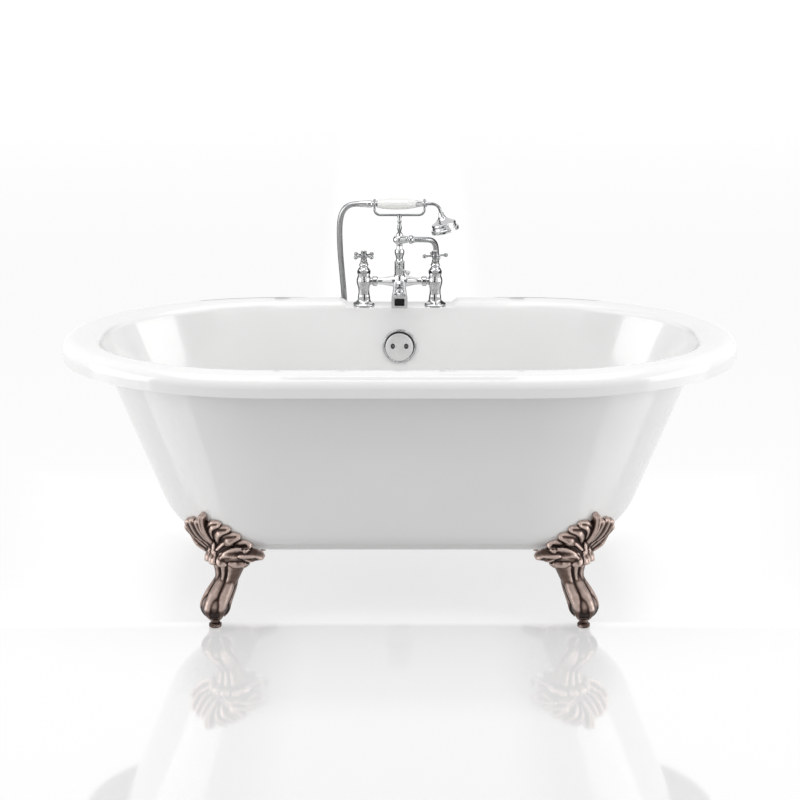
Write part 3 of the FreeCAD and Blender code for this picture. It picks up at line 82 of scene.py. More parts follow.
class Shader:
    """A material's node tree, built up socket by socket."""

    def __init__(self, name: str) -> None:
        """Starts an empty material with one Principled shader.

        Args:
            name: The material's name.
        """
        self.material = bpy.data.materials.new(name)
        self.material.use_nodes = True
        self.tree = self.material.node_tree
        self.tree.nodes.clear()
        self.output = self.tree.nodes.new("ShaderNodeOutputMaterial")
        self.principled = self.tree.nodes.new("ShaderNodeBsdfPrincipled")
        self.link(self.principled.outputs[0], self.output.inputs["Surface"])

    def add(self, kind: str, **settings: object) -> bpy.types.Node:
        """Adds a node and sets its properties.

        Args:
            kind: The node's type without its ShaderNode prefix.
            settings: Properties of the node.

        Returns:
            The new node.
        """
        node = self.tree.nodes.new("ShaderNode" + kind)
        for key, value in settings.items():
            setattr(node, key, value)
        return node

    def link(self, source: bpy.types.NodeSocket, target: bpy.types.NodeSocket) -> None:
        """Joins two sockets."""
        self.tree.links.new(source, target)

    def set(self, **values: object) -> None:
        """Sets the Principled shader's own sockets, with _ for a space in a socket's name."""
        for key, value in values.items():
            self.principled.inputs[key.replace("_", " ")].default_value = value

    def noise(self, scale: float, detail: float = 3.0, rough: float = 0.5,
              stretch: Point = (1, 1, 1)) -> bpy.types.NodeSocket:
        """Noise on Object coordinates.

        Args:
            scale: Waves per metre.
            detail: Octaves.
            rough: How strong the fine octaves are.
            stretch: Scale along each axis.

        Returns:
            The noise's value.
        """
        place = self.add("TexCoord")
        mapping = self.add("Mapping")
        mapping.inputs["Scale"].default_value = stretch
        texture = self.add("TexNoise")
        texture.inputs["Scale"].default_value = scale
        texture.inputs["Detail"].default_value = detail
        texture.inputs["Roughness"].default_value = rough
        self.link(place.outputs["Object"], mapping.inputs["Vector"])
        self.link(mapping.outputs["Vector"], texture.inputs["Vector"])
        return texture.outputs["Fac"]

    def ramp(self, value: bpy.types.NodeSocket, stops: Sequence[tuple[float, Sequence[float]]],
             ease: str = "LINEAR") -> bpy.types.NodeSocket:
        """A colour ramp.

        Args:
            value: What drives the ramp.
            stops: Places and their colours or greys.
            ease: The ramp's interpolation.

        Returns:
            The ramp's colour.
        """
        node = self.add("ValToRGB")
        node.color_ramp.interpolation = ease
        elements = node.color_ramp.elements
        while len(elements) < len(stops):
            elements.new(0.5)
        for element, (place, colour) in zip(elements, stops):
            element.position = place
            tone = [colour[0]] * 3 if len(colour) == 1 else list(colour)
            element.color = (*tone, 1.0)
        self.link(value, node.inputs["Fac"])
        return node.outputs["Color"]

    def paint(self, colour: Sequence[float], shade: float, value: bpy.types.NodeSocket) -> None:
        """Colours the surface, a shade darker where value is low."""
        tone = self.ramp(value, [(0.3, [c * shade for c in colour]), (0.7, colour)])
        self.link(tone, self.principled.inputs["Base Color"])

    def roughen(self, rough: tuple[float, float], value: bpy.types.NodeSocket, top: float = 0.75) -> None:
        """Runs the roughness from its low to its high as value goes from 0.3 to top."""
        low, high = rough
        tone = self.ramp(value, [(0.3, (low,)), (top, (high,))])
        self.link(tone, self.principled.inputs["Roughness"])

    def calc(self, operation: str, first: bpy.types.NodeSocket,
             second: bpy.types.NodeSocket | float | None = None) -> bpy.types.NodeSocket:
        """A calculation with one or two values.

        Args:
            operation: The Math node's operation.
            first: The first value.
            second: The second value, a socket or a number.

        Returns:
            The result.
        """
        node = self.add("Math", operation=operation)
        self.link(first, node.inputs[0])
        if isinstance(second, bpy.types.NodeSocket):
            self.link(second, node.inputs[1])
        elif second is not None:
            node.inputs[1].default_value = second
        return node.outputs[0]

    def span(self, value: bpy.types.NodeSocket, start: float, stop: float, top: float = 1.0,
             ease: str = "SMOOTHSTEP") -> bpy.types.NodeSocket:
        """A value that rises from 0 at start to top at stop.

        Args:
            value: What is measured.
            start: Where it begins.
            stop: Where it ends.
            top: The result at stop.
            ease: The range's interpolation.

        Returns:
            The result.
        """
        node = self.add("MapRange", interpolation_type=ease)
        node.inputs["From Min"].default_value = start
        node.inputs["From Max"].default_value = stop
        node.inputs["To Max"].default_value = top
        self.link(value, node.inputs["Value"])
        return node.outputs[0]

    def object_axes(self) -> bpy.types.Node:
        """The Object coordinates, split into X, Y and Z."""
        place = self.add("TexCoord")
        split = self.add("SeparateXYZ")
        self.link(place.outputs["Object"], split.inputs[0])
        return split

    def bump(self, value: bpy.types.NodeSocket, strength: float, distance: float,
             before: bpy.types.NodeSocket | None = None) -> bpy.types.NodeSocket:
        """A bump on the surface.

        Args:
            value: The height.
            strength: From 0 to 1.
            distance: Full height in metres.
            before: An earlier bump's normal.

        Returns:
            The bumped normal.
        """
        node = self.add("Bump")
        node.inputs["Strength"].default_value = strength
        node.inputs["Distance"].default_value = distance
        self.link(value, node.inputs["Height"])
        if before is not None:
            self.link(before, node.inputs["Normal"])
        return node.outputs["Normal"]


def mesh_object(name: str, bm: bmesh.types.BMesh, smooth_below: float = 40.0) -> bpy.types.Object:
    """Turns a bmesh in millimetres into an object in metres, smooth except at sharp edges.

    Args:
        name: The piece's name.
        bm: The shape, which is freed.
        smooth_below: Edges that turn more than this many degrees stay sharp.

    Returns:
        The object.
    """
    bmesh.ops.scale(bm, vec=(MM, MM, MM), verts=bm.verts)
    limit = math.radians(smooth_below)
    for face in bm.faces:
        face.smooth = True
    for edge in bm.edges:
        edge.smooth = len(edge.link_faces) == 2 and edge.calc_face_angle(0.0) < limit
    mesh = bpy.data.meshes.new(name)
    bm.to_mesh(mesh)
    bm.free()
    piece = bpy.data.objects.new(name, mesh)
    bpy.context.scene.collection.objects.link(piece)
    return piece


def dress(piece: bpy.types.Object, material: bpy.types.Material) -> None:
    """Gives a piece one material."""
    piece.data.materials.clear()
    piece.data.materials.append(material)


def mount(piece: bpy.types.Object, finish: "Finish", slot: str, body: str, *nodes: str) -> None:
    """Gives a piece its finish, the solids it stands for and the body it rides.

    Args:
        piece: The piece.
        finish: Its finish.
        slot: Its material slot; not used.
        body: The body that carries it.
        nodes: The solids that it stands for.
    """
    dress(piece, finish.material())
    if nodes:
        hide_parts(*nodes)
    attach(piece, body)


def catmull(points: Sequence[Sequence[float]], steps: int) -> np.ndarray:
    """A smooth line through points.

    Args:
        points: The points, each with two or more numbers.
        steps: Samples between neighbours.

    Returns:
        The samples, one row each.
    """
    p = np.array(points, float)
    p = np.vstack([2 * p[0] - p[1], p, 2 * p[-1] - p[-2]])
    t = np.linspace(0, 1, steps, endpoint=False)[:, None]
    rows = []
    for a, b, c, d in zip(p, p[1:], p[2:], p[3:]):
        rows.append(0.5 * (2 * b + (c - a) * t + (2 * a - 5 * b + 4 * c - d) * t ** 2
                           + (3 * b - a - 3 * c + d) * t ** 3))
    rows.append(p[-2:-1])
    return np.vstack(rows)


def aim(origin: Sequence[float], direction: Sequence[float]) -> Matrix:
    """Turns a shape made along +Z to point along direction from origin."""
    turn = Vector(direction).to_track_quat("Z", "Y").to_matrix().to_4x4()
    return Matrix.Translation(Vector(origin)) @ turn


def lathe(profile: Profile, steps: int = 48, bevel: float = 0.25) -> bmesh.types.BMesh:
    """A turned shape about +Z.

    Args:
        profile: (radius, height) points; a list of points is a smooth run through them.
        steps: Segments round the axis.
        bevel: How much the sharp rings are broken, in millimetres.

    Returns:
        The shape.
    """
    line: list[tuple[float, float]] = []
    for item in profile:
        if isinstance(item, list):
            line += [tuple(p) for p in catmull([line[-1], *item], 6)[1:]]
        else:
            line.append(item)
    bm = bmesh.new()
    chain = [bm.verts.new((r, 0, z)) for r, z in line]
    edges = [bm.edges.new(pair) for pair in zip(chain, chain[1:])]
    bmesh.ops.spin(bm, geom=chain + edges, cent=(0, 0, 0), axis=(0, 0, 1), angle=2 * math.pi,
                   steps=steps, use_merge=True)
    bmesh.ops.remove_doubles(bm, verts=bm.verts, dist=0.002)
    for end in (line[0], line[-1]):
        if end[0] > 0.01:
            rim = [e for e in bm.edges if e.is_boundary and abs(e.verts[0].co.z - end[1]) < 1e-4]
            if rim:
                bmesh.ops.holes_fill(bm, edges=rim)
    bmesh.ops.recalc_face_normals(bm, faces=bm.faces)
    if bevel:
        sharp = [e for e in bm.edges if e.is_manifold and e.calc_face_angle(0.0) > math.radians(35)]
        bmesh.ops.bevel(bm, geom=sharp, offset=bevel, segments=2, profile=0.5, affect="EDGES",
                        material=-1, clamp_overlap=True)
    return bm


def merge(target: bmesh.types.BMesh, source: bmesh.types.BMesh, place: Matrix | None = None) -> None:
    """Adds source to target, moved by place, and frees it.

    Args:
        target: The shape that grows.
        source: The shape that is added.
        place: Where it goes.
    """
    if place is not None:
        bmesh.ops.transform(source, matrix=place, verts=source.verts)
    carrier = bpy.data.meshes.new("carrier")
    source.to_mesh(carrier)
    source.free()
    target.from_mesh(carrier)
    bpy.data.meshes.remove(carrier)


def rings_of(bm: bmesh.types.BMesh, count: int, sides: int) -> list[list[bmesh.types.BMVert]]:
    """Joins count rings into an open sleeve, all still lying on one circle of radius 1.

    Args:
        bm: The shape that grows.
        count: How many rings.
        sides: Corners of each ring.

    Returns:
        Each ring's vertices, in order.
    """
    ring = bmesh.ops.create_circle(bm, cap_ends=False, radius=1.0, segments=sides)["verts"]
    edges = list(bm.edges)
    rings = [list(ring)]
    for _ in range(count - 1):
        made = bmesh.ops.extrude_edge_only(bm, edges=edges)["geom"]
        edges = [g for g in made if isinstance(g, bmesh.types.BMEdge) and g.is_boundary]
        rings.append([g for g in made if isinstance(g, bmesh.types.BMVert)])
    return rings


def close(bm: bmesh.types.BMesh) -> None:
    """Fills every open ring and turns all faces outward."""
    bmesh.ops.holes_fill(bm, edges=[e for e in bm.edges if e.is_boundary])
    bmesh.ops.recalc_face_normals(bm, faces=bm.faces)


def tube(line: np.ndarray, radii: Sequence[float], sides: int = 24) -> bmesh.types.BMesh:
    """A closed round tube along a line.

    Args:
        line: Points of the middle line.
        radii: One radius for each point.
        sides: Sides of the section.

    Returns:
        The shape, with its first and last rings filled.
    """
    line = np.array(line, float)
    ahead = np.gradient(line, axis=0)
    ahead /= np.linalg.norm(ahead, axis=1)[:, None]
    across = np.cross(ahead[0], (0.0, 0.0, 1.0) if abs(ahead[0][2]) < 0.9 else (1.0, 0.0, 0.0))
    bm = bmesh.new()
    rings = rings_of(bm, len(line), sides)
    order = np.array([v.co[:2] for v in rings[0]])
    for k, ring in enumerate(rings):
        across = across - ahead[k] * np.dot(across, ahead[k])
        across /= np.linalg.norm(across)
        up = np.cross(ahead[k], across)
        spots = line[k] + radii[k] * (order[:, :1] * across + order[:, 1:] * up)
        for vert, spot in zip(ring, spots):
            vert.co = spot
    close(bm)
    return bm


def carve(target: bmesh.types.BMesh, cutters: Sequence[bmesh.types.BMesh]) -> bmesh.types.BMesh:
    """Cuts shapes out of target, and frees them all.

    Args:
        target: The shape that is cut.
        cutters: What is cut away.

    Returns:
        The cut shape.
    """
    scene = bpy.context.scene.collection.objects
    made = []
    for shape in (target, *cutters):
        mesh = bpy.data.meshes.new("carve")
        shape.to_mesh(mesh)
        shape.free()
        made.append(bpy.data.objects.new("carve", mesh))
        scene.link(made[-1])
    for cutter in made[1:]:
        cut = made[0].modifiers.new("cut", "BOOLEAN")
        cut.operation = "DIFFERENCE"
        cut.object = cutter
    graph = bpy.context.evaluated_depsgraph_get()
    mesh = bpy.data.meshes.new_from_object(made[0].evaluated_get(graph))
    bm = bmesh.new()
    bm.from_mesh(mesh)
    bpy.data.meshes.remove(mesh)
    for piece in made:
        bpy.data.objects.remove(piece)
    bmesh.ops.remove_doubles(bm, verts=bm.verts, dist=0.001)
    return bm


# ------------------------------------------------------------------ finishes


@dataclass(frozen=True)
class Enamel:
    """Gloss white vitreous enamel, fired on cast iron."""

    white: tuple[float, float, float] = (0.90, 0.90, 0.895)

    def material(self) -> bpy.types.Material:
        """Returns the finish, with the long waves and fine orange peel of a fired coat."""
        s = Shader("white_enamel")
        s.set(IOR=1.52, Coat_Weight=0.5, Coat_Roughness=0.03)
        s.paint(self.white, 0.985, s.noise(5.0, 2.0))
        s.roughen((0.10, 0.17), s.noise(14.0, 4.0), 0.7)
        waves = s.bump(s.noise(9.0, 1.0), 0.25, 0.0006)
        s.link(s.bump(s.noise(420.0, 2.0), 0.05, 0.0002, waves), s.principled.inputs["Normal"])
        return s.material


@dataclass(frozen=True)
class Bronze:
    """Cast iron with an antique rose-bronze finish: rubbed bright on its ridges and dark in its hollows,
    where on a carved piece the dark is partly the finish and partly painted shade.
    """

    name: str = "rose_bronze"
    dark: tuple[float, float, float] = (0.016, 0.008, 0.006)
    middle: tuple[float, float, float] = (0.105, 0.066, 0.054)
    bright: tuple[float, float, float] = (0.46, 0.36, 0.32)
    carved: bool = True

    def material(self) -> bpy.types.Material:
        """Returns the finish; a carved piece has a relief attribute, 0 in hollows and low on the ball and 1
        on ridges, which carries the finish's dark hollows together with painted shade.
        """
        s = Shader(self.name)
        s.set(Metallic=0.75)
        mottle = s.noise(90.0, 5.0, 0.6)
        if self.carved:
            relief = s.add("Attribute", attribute_name="relief").outputs["Fac"]
            blend = s.add("Mix", data_type="FLOAT")
            blend.inputs["Factor"].default_value = 0.14
            s.link(relief, blend.inputs[2])
            s.link(mottle, blend.inputs[3])
            depth = blend.outputs[0]
        else:
            depth = mottle
        colour = s.ramp(depth, [(0.28, self.dark), (0.50, self.middle), (0.82, self.bright)], "EASE")
        s.link(colour, s.principled.inputs["Base Color"])
        s.roughen((0.30, 0.48), s.noise(160.0, 4.0))
        s.link(s.bump(s.noise(650.0, 4.0, 0.6), 0.25, 0.0004), s.principled.inputs["Normal"])
        return s.material


@dataclass(frozen=True)
class Plated:
    """A polished or brushed metal."""

    name: str
    colour: tuple[float, float, float]
    rough: tuple[float, float] = (0.035, 0.09)
    grain: float = 30.0
    relief: float = 0.00012

    def material(self) -> bpy.types.Material:
        """Returns the finish, with polish that varies a little and a faint hand-buffed wave."""
        s = Shader(self.name)
        s.set(Metallic=1.0)
        s.paint(self.colour, 0.94, s.noise(self.grain, 3.0))
        s.roughen(self.rough, s.noise(self.grain * 4, 4.0))
        s.link(s.bump(s.noise(self.grain * 2, 2.0), 0.2, self.relief), s.principled.inputs["Normal"])
        return s.material


@dataclass(frozen=True)
class Moulded:
    """A glazed, moulded or rubber surface."""

    name: str
    colour: tuple[float, float, float]
    rough: tuple[float, float]
    grain: float = 60.0
    relief: float = 0.0001
    coat: float = 0.0

    def material(self) -> bpy.types.Material:
        """Returns the finish, with a little colour variation and surface grain."""
        s = Shader(self.name)
        s.set(Coat_Weight=self.coat, Coat_Roughness=0.03)
        s.paint(self.colour, 0.95, s.noise(self.grain, 3.0))
        s.roughen(self.rough, s.noise(self.grain * 3, 4.0))
        s.link(s.bump(s.noise(self.grain * 8, 3.0), 0.3, self.relief), s.principled.inputs["Normal"])
        return s.material


class Finish(Enum):
    """Every finish on the bathtub."""

    ENAMEL = Enamel()
    BRONZE = Bronze()
    PAD_BRONZE = Bronze("pad_bronze", carved=False)
    CHROME = Plated("polished_chrome", (0.60, 0.605, 0.61))
    # A lighter copy of the chrome, as painted light, for the bridge and spout.
    LIT_CHROME = Plated("lit_chrome", (0.76, 0.765, 0.77))
    # A darker copy of the chrome, as painted shade, for the thin pieces.
    SHADED_CHROME = Plated("shaded_chrome", (0.34, 0.345, 0.35), (0.07, 0.15), 40.0)
    # The disc's chrome is paler than any chrome: painted light that brightens it.
    SATIN = Plated("satin_chrome", (0.94, 0.94, 0.935), (0.38, 0.50), 60.0)
    # The ring's chrome is darker than the rest: painted shade that greys it.
    RING = Plated("ring_chrome", (0.52, 0.525, 0.53), (0.22, 0.34), 60.0)
    HOSE = Plated("hose_steel", (0.40, 0.405, 0.41), (0.16, 0.26), 50.0)
    ZINC = Plated("zinc_plate", (0.58, 0.59, 0.60), (0.25, 0.42), 80.0)
    # Dark steel for the overflow screws: painted shade, so the screw wells read dark.
    SCREW = Plated("shaded_screw_steel", (0.22, 0.22, 0.23), (0.2, 0.32), 80.0)
    BRASS = Plated("machined_brass", (0.70, 0.54, 0.26), (0.16, 0.3), 80.0)
    PORCELAIN = Moulded("white_porcelain", (0.88, 0.88, 0.86), (0.08, 0.14), 20.0, 0.00003, 0.6)
    PIPE = Moulded("white_waste_pipe", (0.80, 0.80, 0.78), (0.32, 0.45))
    RUBBER = Moulded("black_rubber", (0.025, 0.025, 0.026), (0.5, 0.68), 120.0, 0.0002)

    def material(self) -> bpy.types.Material:
        """Returns the finish's material, made once."""
        name = "made_" + self.name
        if name not in _made:
            _made[name] = self.value.material()
        return _made[name]


_made: dict[str, bpy.types.Material] = {}

SLOT_FINISH = {
    "enamelled_iron": Finish.ENAMEL,
    "antique_bronze": Finish.BRONZE,
    "pad_bronze": Finish.PAD_BRONZE,
    "zinc_steel": Finish.ZINC,
    "chrome": Finish.CHROME,
    "steel_screws": Finish.SCREW,
    "seal_rubber": Finish.RUBBER,
    "white_pipe": Finish.PIPE,
    "brass_inner": Finish.BRASS,
    "porcelain": Finish.PORCELAIN,
    "steel_hose": Finish.HOSE,
}


# ------------------------------------------------------------------ hose


@dataclass
class Hose:
    """The spiral-wound metal hose from the mixer's outlet round behind the tub to the hand shower."""

    radius: float = 7.2
    length: float = 1498.6
    pitch: float = 3.2
    groove: float = 0.35
    route: list[Point] = field(default_factory=lambda: [
        (38, 338, 801), (62, 338, 801), (81, 352, 797), (91, 373, 782), (94, 389, 756), (94, 397, 721),
        (94, 401, 680), (98, 402, 630), (107, 403, 570), (118, 403, 501), (122, 403, 427), (116, 403, 354),
        (96, 403, 289), (61, 403, 238), (17, 403, 213), (-31, 403, 213), (-77, 403, 235), (-111, 403, 281),
        (-130, 403, 342), (-139, 403, 409), (-142, 403, 478), (-141, 402, 542), (-140, 400, 602),
        (-143, 394, 660), (-147, 385, 712), (-150, 374, 758), (-151, 363, 796), (-151, 354, 826),
        (-149, 347, 850), (-144, 342, 869), (-134, 339, 884), (-118, 338, 892), (-101, 338, 892),
    ])

    def centre_line(self) -> np.ndarray:
        """Returns points of the hose's smooth middle line, in metres."""
        curve = bpy.data.curves.new("hose_line", "CURVE")
        curve.dimensions = "3D"
        curve.resolution_u = 16
        spline = curve.splines.new("NURBS")
        spline.points.add(len(self.route) - 1)
        for point, (x, y, z) in zip(spline.points, self.route):
            point.co = (x * MM, y * MM, z * MM, 1.0)
        spline.order_u = 3
        spline.use_endpoint_u = True
        carrier = bpy.data.objects.new("hose_line", curve)
        bpy.context.scene.collection.objects.link(carrier)
        bpy.context.view_layer.update()
        mesh = bpy.data.meshes.new_from_object(carrier)
        line = np.array([v.co for v in mesh.vertices], float)
        bpy.data.objects.remove(carrier)
        bpy.data.meshes.remove(mesh)
        return line

    def build(self) -> bpy.types.Object:
        """Builds the hose as a wound tube and hangs it between the mixer and the hand shower.

        Returns:
            The hose.
        """
        line = self.centre_line()
        run = np.concatenate([[0], np.cumsum(np.linalg.norm(np.diff(line, axis=0), axis=1))])
        step = self.pitch * MM / 4
        count = int(run[-1] / step)
        marks = np.linspace(0, run[-1], count + 1)
        fine = np.stack([np.interp(marks, run, line[:, k]) for k in range(3)], axis=1) / MM
        wave = np.array([self.radius - self.groove * (k % 4 == 0) for k in range(count + 1)])
        wave[:3] = wave[-3:] = self.radius
        bm = tube(fine, wave, 16)
        hose = mesh_object("hose_wound", bm, 80.0)
        dress(hose, Finish.HOSE.material())
        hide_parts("hose")
        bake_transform(hose)
        log.info("hose: %.1f mm along its line, %d rings", run[-1] / MM, count)
        return hose


# ------------------------------------------------------------------ feet


@dataclass(frozen=True)
class Leaflet:
    """One fold of the acanthus leaf, in the leaf's own (side, height) plane."""

    path: tuple[tuple[float, float], ...]
    widths: tuple[float, ...]
    heights: tuple[float, ...]
    groove: float = 0.16
    lip: float = 0.34

    def relief(self, side: np.ndarray, height: np.ndarray) -> np.ndarray:
        """How far this fold stands off the tub.

        Args:
            side: Side coordinate of each point.
            height: Height of each point above the floor.

        Returns:
            The relief in millimetres, negative outside the fold.
        """
        line = catmull(self.path, 12)
        ahead = np.gradient(line, axis=0)
        ahead /= np.linalg.norm(ahead, axis=1)[:, None]
        span = np.linspace(0, 1, len(line))
        half = np.interp(span, np.linspace(0, 1, len(self.widths)), self.widths)
        crest = np.interp(span, np.linspace(0, 1, len(self.heights)), self.heights)
        away = np.stack([side, height], axis=-1)[:, None, :] - line[None]
        gap = np.linalg.norm(away, axis=2) / half[None]
        near = gap.argmin(axis=1)
        rows = np.arange(len(near))
        u = gap[rows, near]
        left = ahead[near, 0] * away[rows, near, 1] - ahead[near, 1] * away[rows, near, 0]
        outer = -math.copysign(1.0, self.path[-1][0]) * left / half[near]
        shape = np.sqrt(np.clip(1 - u ** 6, 0, 1)) * (1 - self.lip + self.lip * np.clip(outer, -1, 1))
        shape = shape - self.groove * np.exp(-((outer + 0.15) / 0.2) ** 2)
        return np.where(u < 1, crest[near] * shape, -1.0)


@dataclass
class ClawFoot:
    """A claw-and-ball foot with an acanthus leaf that hugs the tub's corner."""

    foot_x: float = 433.0
    foot_y: float = 245.0
    turn: float = 45.0
    ball_radius: float = 35.0
    ball_height: float = 53.0
    straight_half: float = 290.0
    underside: float = 180.0
    lip_bottom: float = 599.0
    end_wall: tuple[float, float, float] = (705.0, 21.3, 127.0)
    side_wall: tuple[float, float, float] = (307.0, 7.1, 60.0)
    voxel: float = 1.35
    stand_off: float = 1.2
    tip_shift: float = 37.0
    leaf_cells: tuple[int, int] = (200, 124)
    leaf_width: float = 230.0
    leaf_side: float = -14.0
    leaf_height: float = 134.0
    leaf_middle: float = 214.0
    melt: float = 4.0
    under_gap: float = 0.6
    knee: tuple[Point, ...] = (
        (40, -74, 206), (39, -64, 193), (43, -57, 178), (44, -53, 164), (41, -49, 150), (36.5, -47, 138),
        (31.5, -43, 122), (28.5, -36, 106), (27, -27, 92), (29, -16, 78), (28, -7, 64), (24, -2, 52))
    top_rings: tuple[float, ...] = (1, 10, 20, 30)
    tendons: tuple[Point, ...] = ((-8, 6.0, 7.0), (-37, 5.5, 7.0), (40, 6.0, 5.0))
    toes: tuple[float, ...] = (-48.0, 12.0, 78.0, 150.0, 225.0)
    plate_block: tuple[Point, Point] = ((-94.0, 0.0, 171.5), (79.0, 68.0, 16.4))
    smoothing: tuple[float, ...] = (0.5, 0.5, -0.42, 0.5, -0.42)
    # Smoothing turns and scales at which hollows are measured; the hollows found are made dark, partly as the
    # finish's patina and partly as painted shade.
    patina_and_shade_reach: tuple[tuple[int, float], ...] = ((4, 0.45), (12, 1.1), (32, 2.2), (70, 3.6))

    def wall(self, height: np.ndarray, numbers: tuple[float, float, float]) -> np.ndarray:
        """Half length or width of the tub's body at a height.

        Args:
            height: Heights above the floor.
            numbers: Half size at the lip, lean in degrees, and bottom corner's radius.

        Returns:
            The half sizes.
        """
        half, lean, corner = numbers[0], math.radians(numbers[1]), numbers[2]
        centre = self.underside + corner
        tangent = centre - corner * math.sin(lean)
        middle = half - (self.lip_bottom - tangent) * math.tan(lean) - corner * math.cos(lean)
        rise = height - tangent
        straight = middle + corner * math.cos(lean) + rise * math.tan(lean)
        drop = np.clip(centre - height, 0, corner)
        round_ = middle + np.sqrt(np.clip(corner ** 2 - drop ** 2, 0, None))
        return np.where(rise >= 0, straight, round_)

    def spot(self, out: np.ndarray, side: np.ndarray, height: np.ndarray) -> np.ndarray:
        """Points of the front left foot: out along the way it faces, side to its left."""
        t = math.radians(self.turn)
        x = -self.foot_x - out * math.sin(t) + side * math.cos(t)
        y = -self.foot_y - out * math.cos(t) - side * math.sin(t)
        return np.stack(np.broadcast_arrays(x, y, height), axis=-1)

    def surface(self, side: np.ndarray, height: np.ndarray) -> np.ndarray:
        """How far out the leaf's ground is: the tub's skin, run softly over the leg's knee.

        Args:
            side: Side coordinates.
            height: Heights.

        Returns:
            The out coordinates.
        """
        level = np.maximum(height, self.knee[0][2])
        a, b = self.wall(level, self.end_wall), self.wall(level, self.side_wall)
        low, high = np.full_like(side, -150.0), np.full_like(side, 150.0)
        for _ in range(40):
            middle = (low + high) / 2
            p = self.spot(middle, side, level)
            across = np.clip(np.abs(p[..., 0]) - self.straight_half, 0, None) / (a - self.straight_half)
            inside = across ** 2 + (p[..., 1] / b) ** 2 < 1
            low, high = np.where(inside, middle, low), np.where(inside, high, middle)
        skin = low - 0.35 * (level - height)
        radius, out, z = np.array(self.knee)[::-1].T
        middle, r = np.interp(height, z, out), np.interp(height, z, radius)
        knee = middle + np.sqrt(np.clip(r ** 2 - side ** 2, 0, None)) - 400 * (np.abs(side) > r)
        return self.melt * np.logaddexp(skin / self.melt, knee / self.melt)

    def ceiling(self, x: np.ndarray, y: np.ndarray) -> np.ndarray:
        """Height of the tub's skin above points of the floor, 400 where no tub is above them.

        Args:
            x: X coordinates.
            y: Y coordinates.

        Returns:
            The heights.
        """
        low, high = np.full_like(x, self.underside), np.full_like(x, 400.0)
        for _ in range(30):
            middle = (low + high) / 2
            a, b = self.wall(middle, self.end_wall), self.wall(middle, self.side_wall)
            across = np.clip(np.abs(x) - self.straight_half, 0, None) / (a - self.straight_half)
            inside = across ** 2 + (y / b) ** 2 < 1
            low, high = np.where(inside, low, middle), np.where(inside, middle, high)
        return high

    def folds(self) -> list[Leaflet]:
        """The leaf's folds: a ribbed half, a flame-like half, the spine and the row at its foot."""
        ribs = [
            Leaflet(((-13, 172), (-15, 208), (-16, 246)), (9, 12, 11), (9, 15, 13), 0.08, 0.2),
            Leaflet(((-24, 172), (-33, 210), (-33, 245)), (9, 13, 12), (9, 17, 14), 0.08, 0.2),
            Leaflet(((-35, 172), (-53, 205), (-52, 236)), (9, 14, 13), (9, 18, 14), 0.08, 0.2),
            Leaflet(((-45, 168), (-70, 188), (-74, 217)), (10, 15, 13), (10, 19, 14), 0.08, 0.2),
        ]
        flames = [
            Leaflet(((5, 222), (14, 240), (25, 251), (39, 255)), (8, 10, 10, 7), (14, 18, 18, 12), 0.1),
            Leaflet(((6, 204), (20, 226), (37, 240), (58, 245)), (8, 12, 12, 7), (14, 19, 20, 12), 0.1),
            Leaflet(((8, 188), (26, 208), (48, 224), (73, 230)), (8, 13, 13, 7), (13, 19, 21, 12), 0.1),
            Leaflet(((14, 176), (36, 192), (59, 206), (79, 211)), (8, 13, 13, 8), (12, 19, 22, 12), 0.1),
            Leaflet(((26, 170), (46, 180), (65, 187), (80, 184)), (8, 13, 16, 11), (11, 19, 24, 15),
                    0.05, -0.4),
        ]
        row = [Leaflet(((s, 164), (s + 3, 174)), (10, 8.5), (15, 11), -0.1, 0.0)
               for s in (-40, -20, 0, 20, 40)]
        spine = Leaflet(((0, 172), (0, 200), (1, 238), (3, 269)), (5, 6, 8, 8), (10, 16, 20, 17), -0.1, 0.0)
        return [*ribs, *flames, *row, spine]

    def leaf(self) -> bmesh.types.BMesh:
        """The leaf as one relief on the tub's corner."""
        bm = bmesh.new()
        columns, rows = self.leaf_cells
        bmesh.ops.create_grid(bm, x_segments=columns, y_segments=rows, size=0.5)
        flat = np.array([v.co[:2] for v in bm.verts])
        side = flat[:, 0] * self.leaf_width + self.leaf_side
        height = flat[:, 1] * self.leaf_height + self.leaf_middle
        lean = np.clip((height - 150.0) / 110.0, 0, 1)
        across = side + self.tip_shift * lean ** 2 * (3 - 2 * lean)
        stand = np.full(len(side), -1.0)
        for fold in self.folds():
            stand = np.maximum(stand, fold.relief(across, height))
        ground = (np.abs(across) < 72) & (height > 166) & (height < 244 - np.abs(across) * 0.4)
        stand = np.where(ground, np.maximum(stand, 2.2), stand)
        step = 0.5
        out = self.surface(side, height)
        by_side = (self.surface(side + step, height) - self.surface(side - step, height)) / (2 * step)
        by_height = (self.surface(side, height + step) - self.surface(side, height - step)) / (2 * step)
        normal = np.stack([np.ones_like(out), -by_side, -by_height], axis=1)
        normal /= np.linalg.norm(normal, axis=1)[:, None]
        base = np.stack([out, side, height], axis=1) + normal * self.stand_off
        crest = base + normal * (2.0 + np.clip(stand, 0, None))[:, None]
        keep = stand > 0
        bm.verts.ensure_lookup_table()
        gone = [f for f in bm.faces if not any(keep[v.index] for v in f.verts)]
        tag = bm.verts.layers.int.new("tag")
        for vert in bm.verts:
            vert[tag] = vert.index
        bmesh.ops.delete(bm, geom=gone, context="FACES")
        low = list(bm.verts)
        made = bmesh.ops.extrude_face_region(bm, geom=list(bm.faces), use_keep_orig=True)["geom"]
        high = {g for g in made if isinstance(g, bmesh.types.BMVert)}
        low_spots, high_spots = self.spot(*base.T), self.spot(*crest.T)
        for vert in low:
            if vert not in high:
                vert.co = low_spots[vert[tag]]
        for vert in high:
            vert.co = high_spots[vert[tag]]
        bmesh.ops.recalc_face_normals(bm, faces=bm.faces)
        return bm

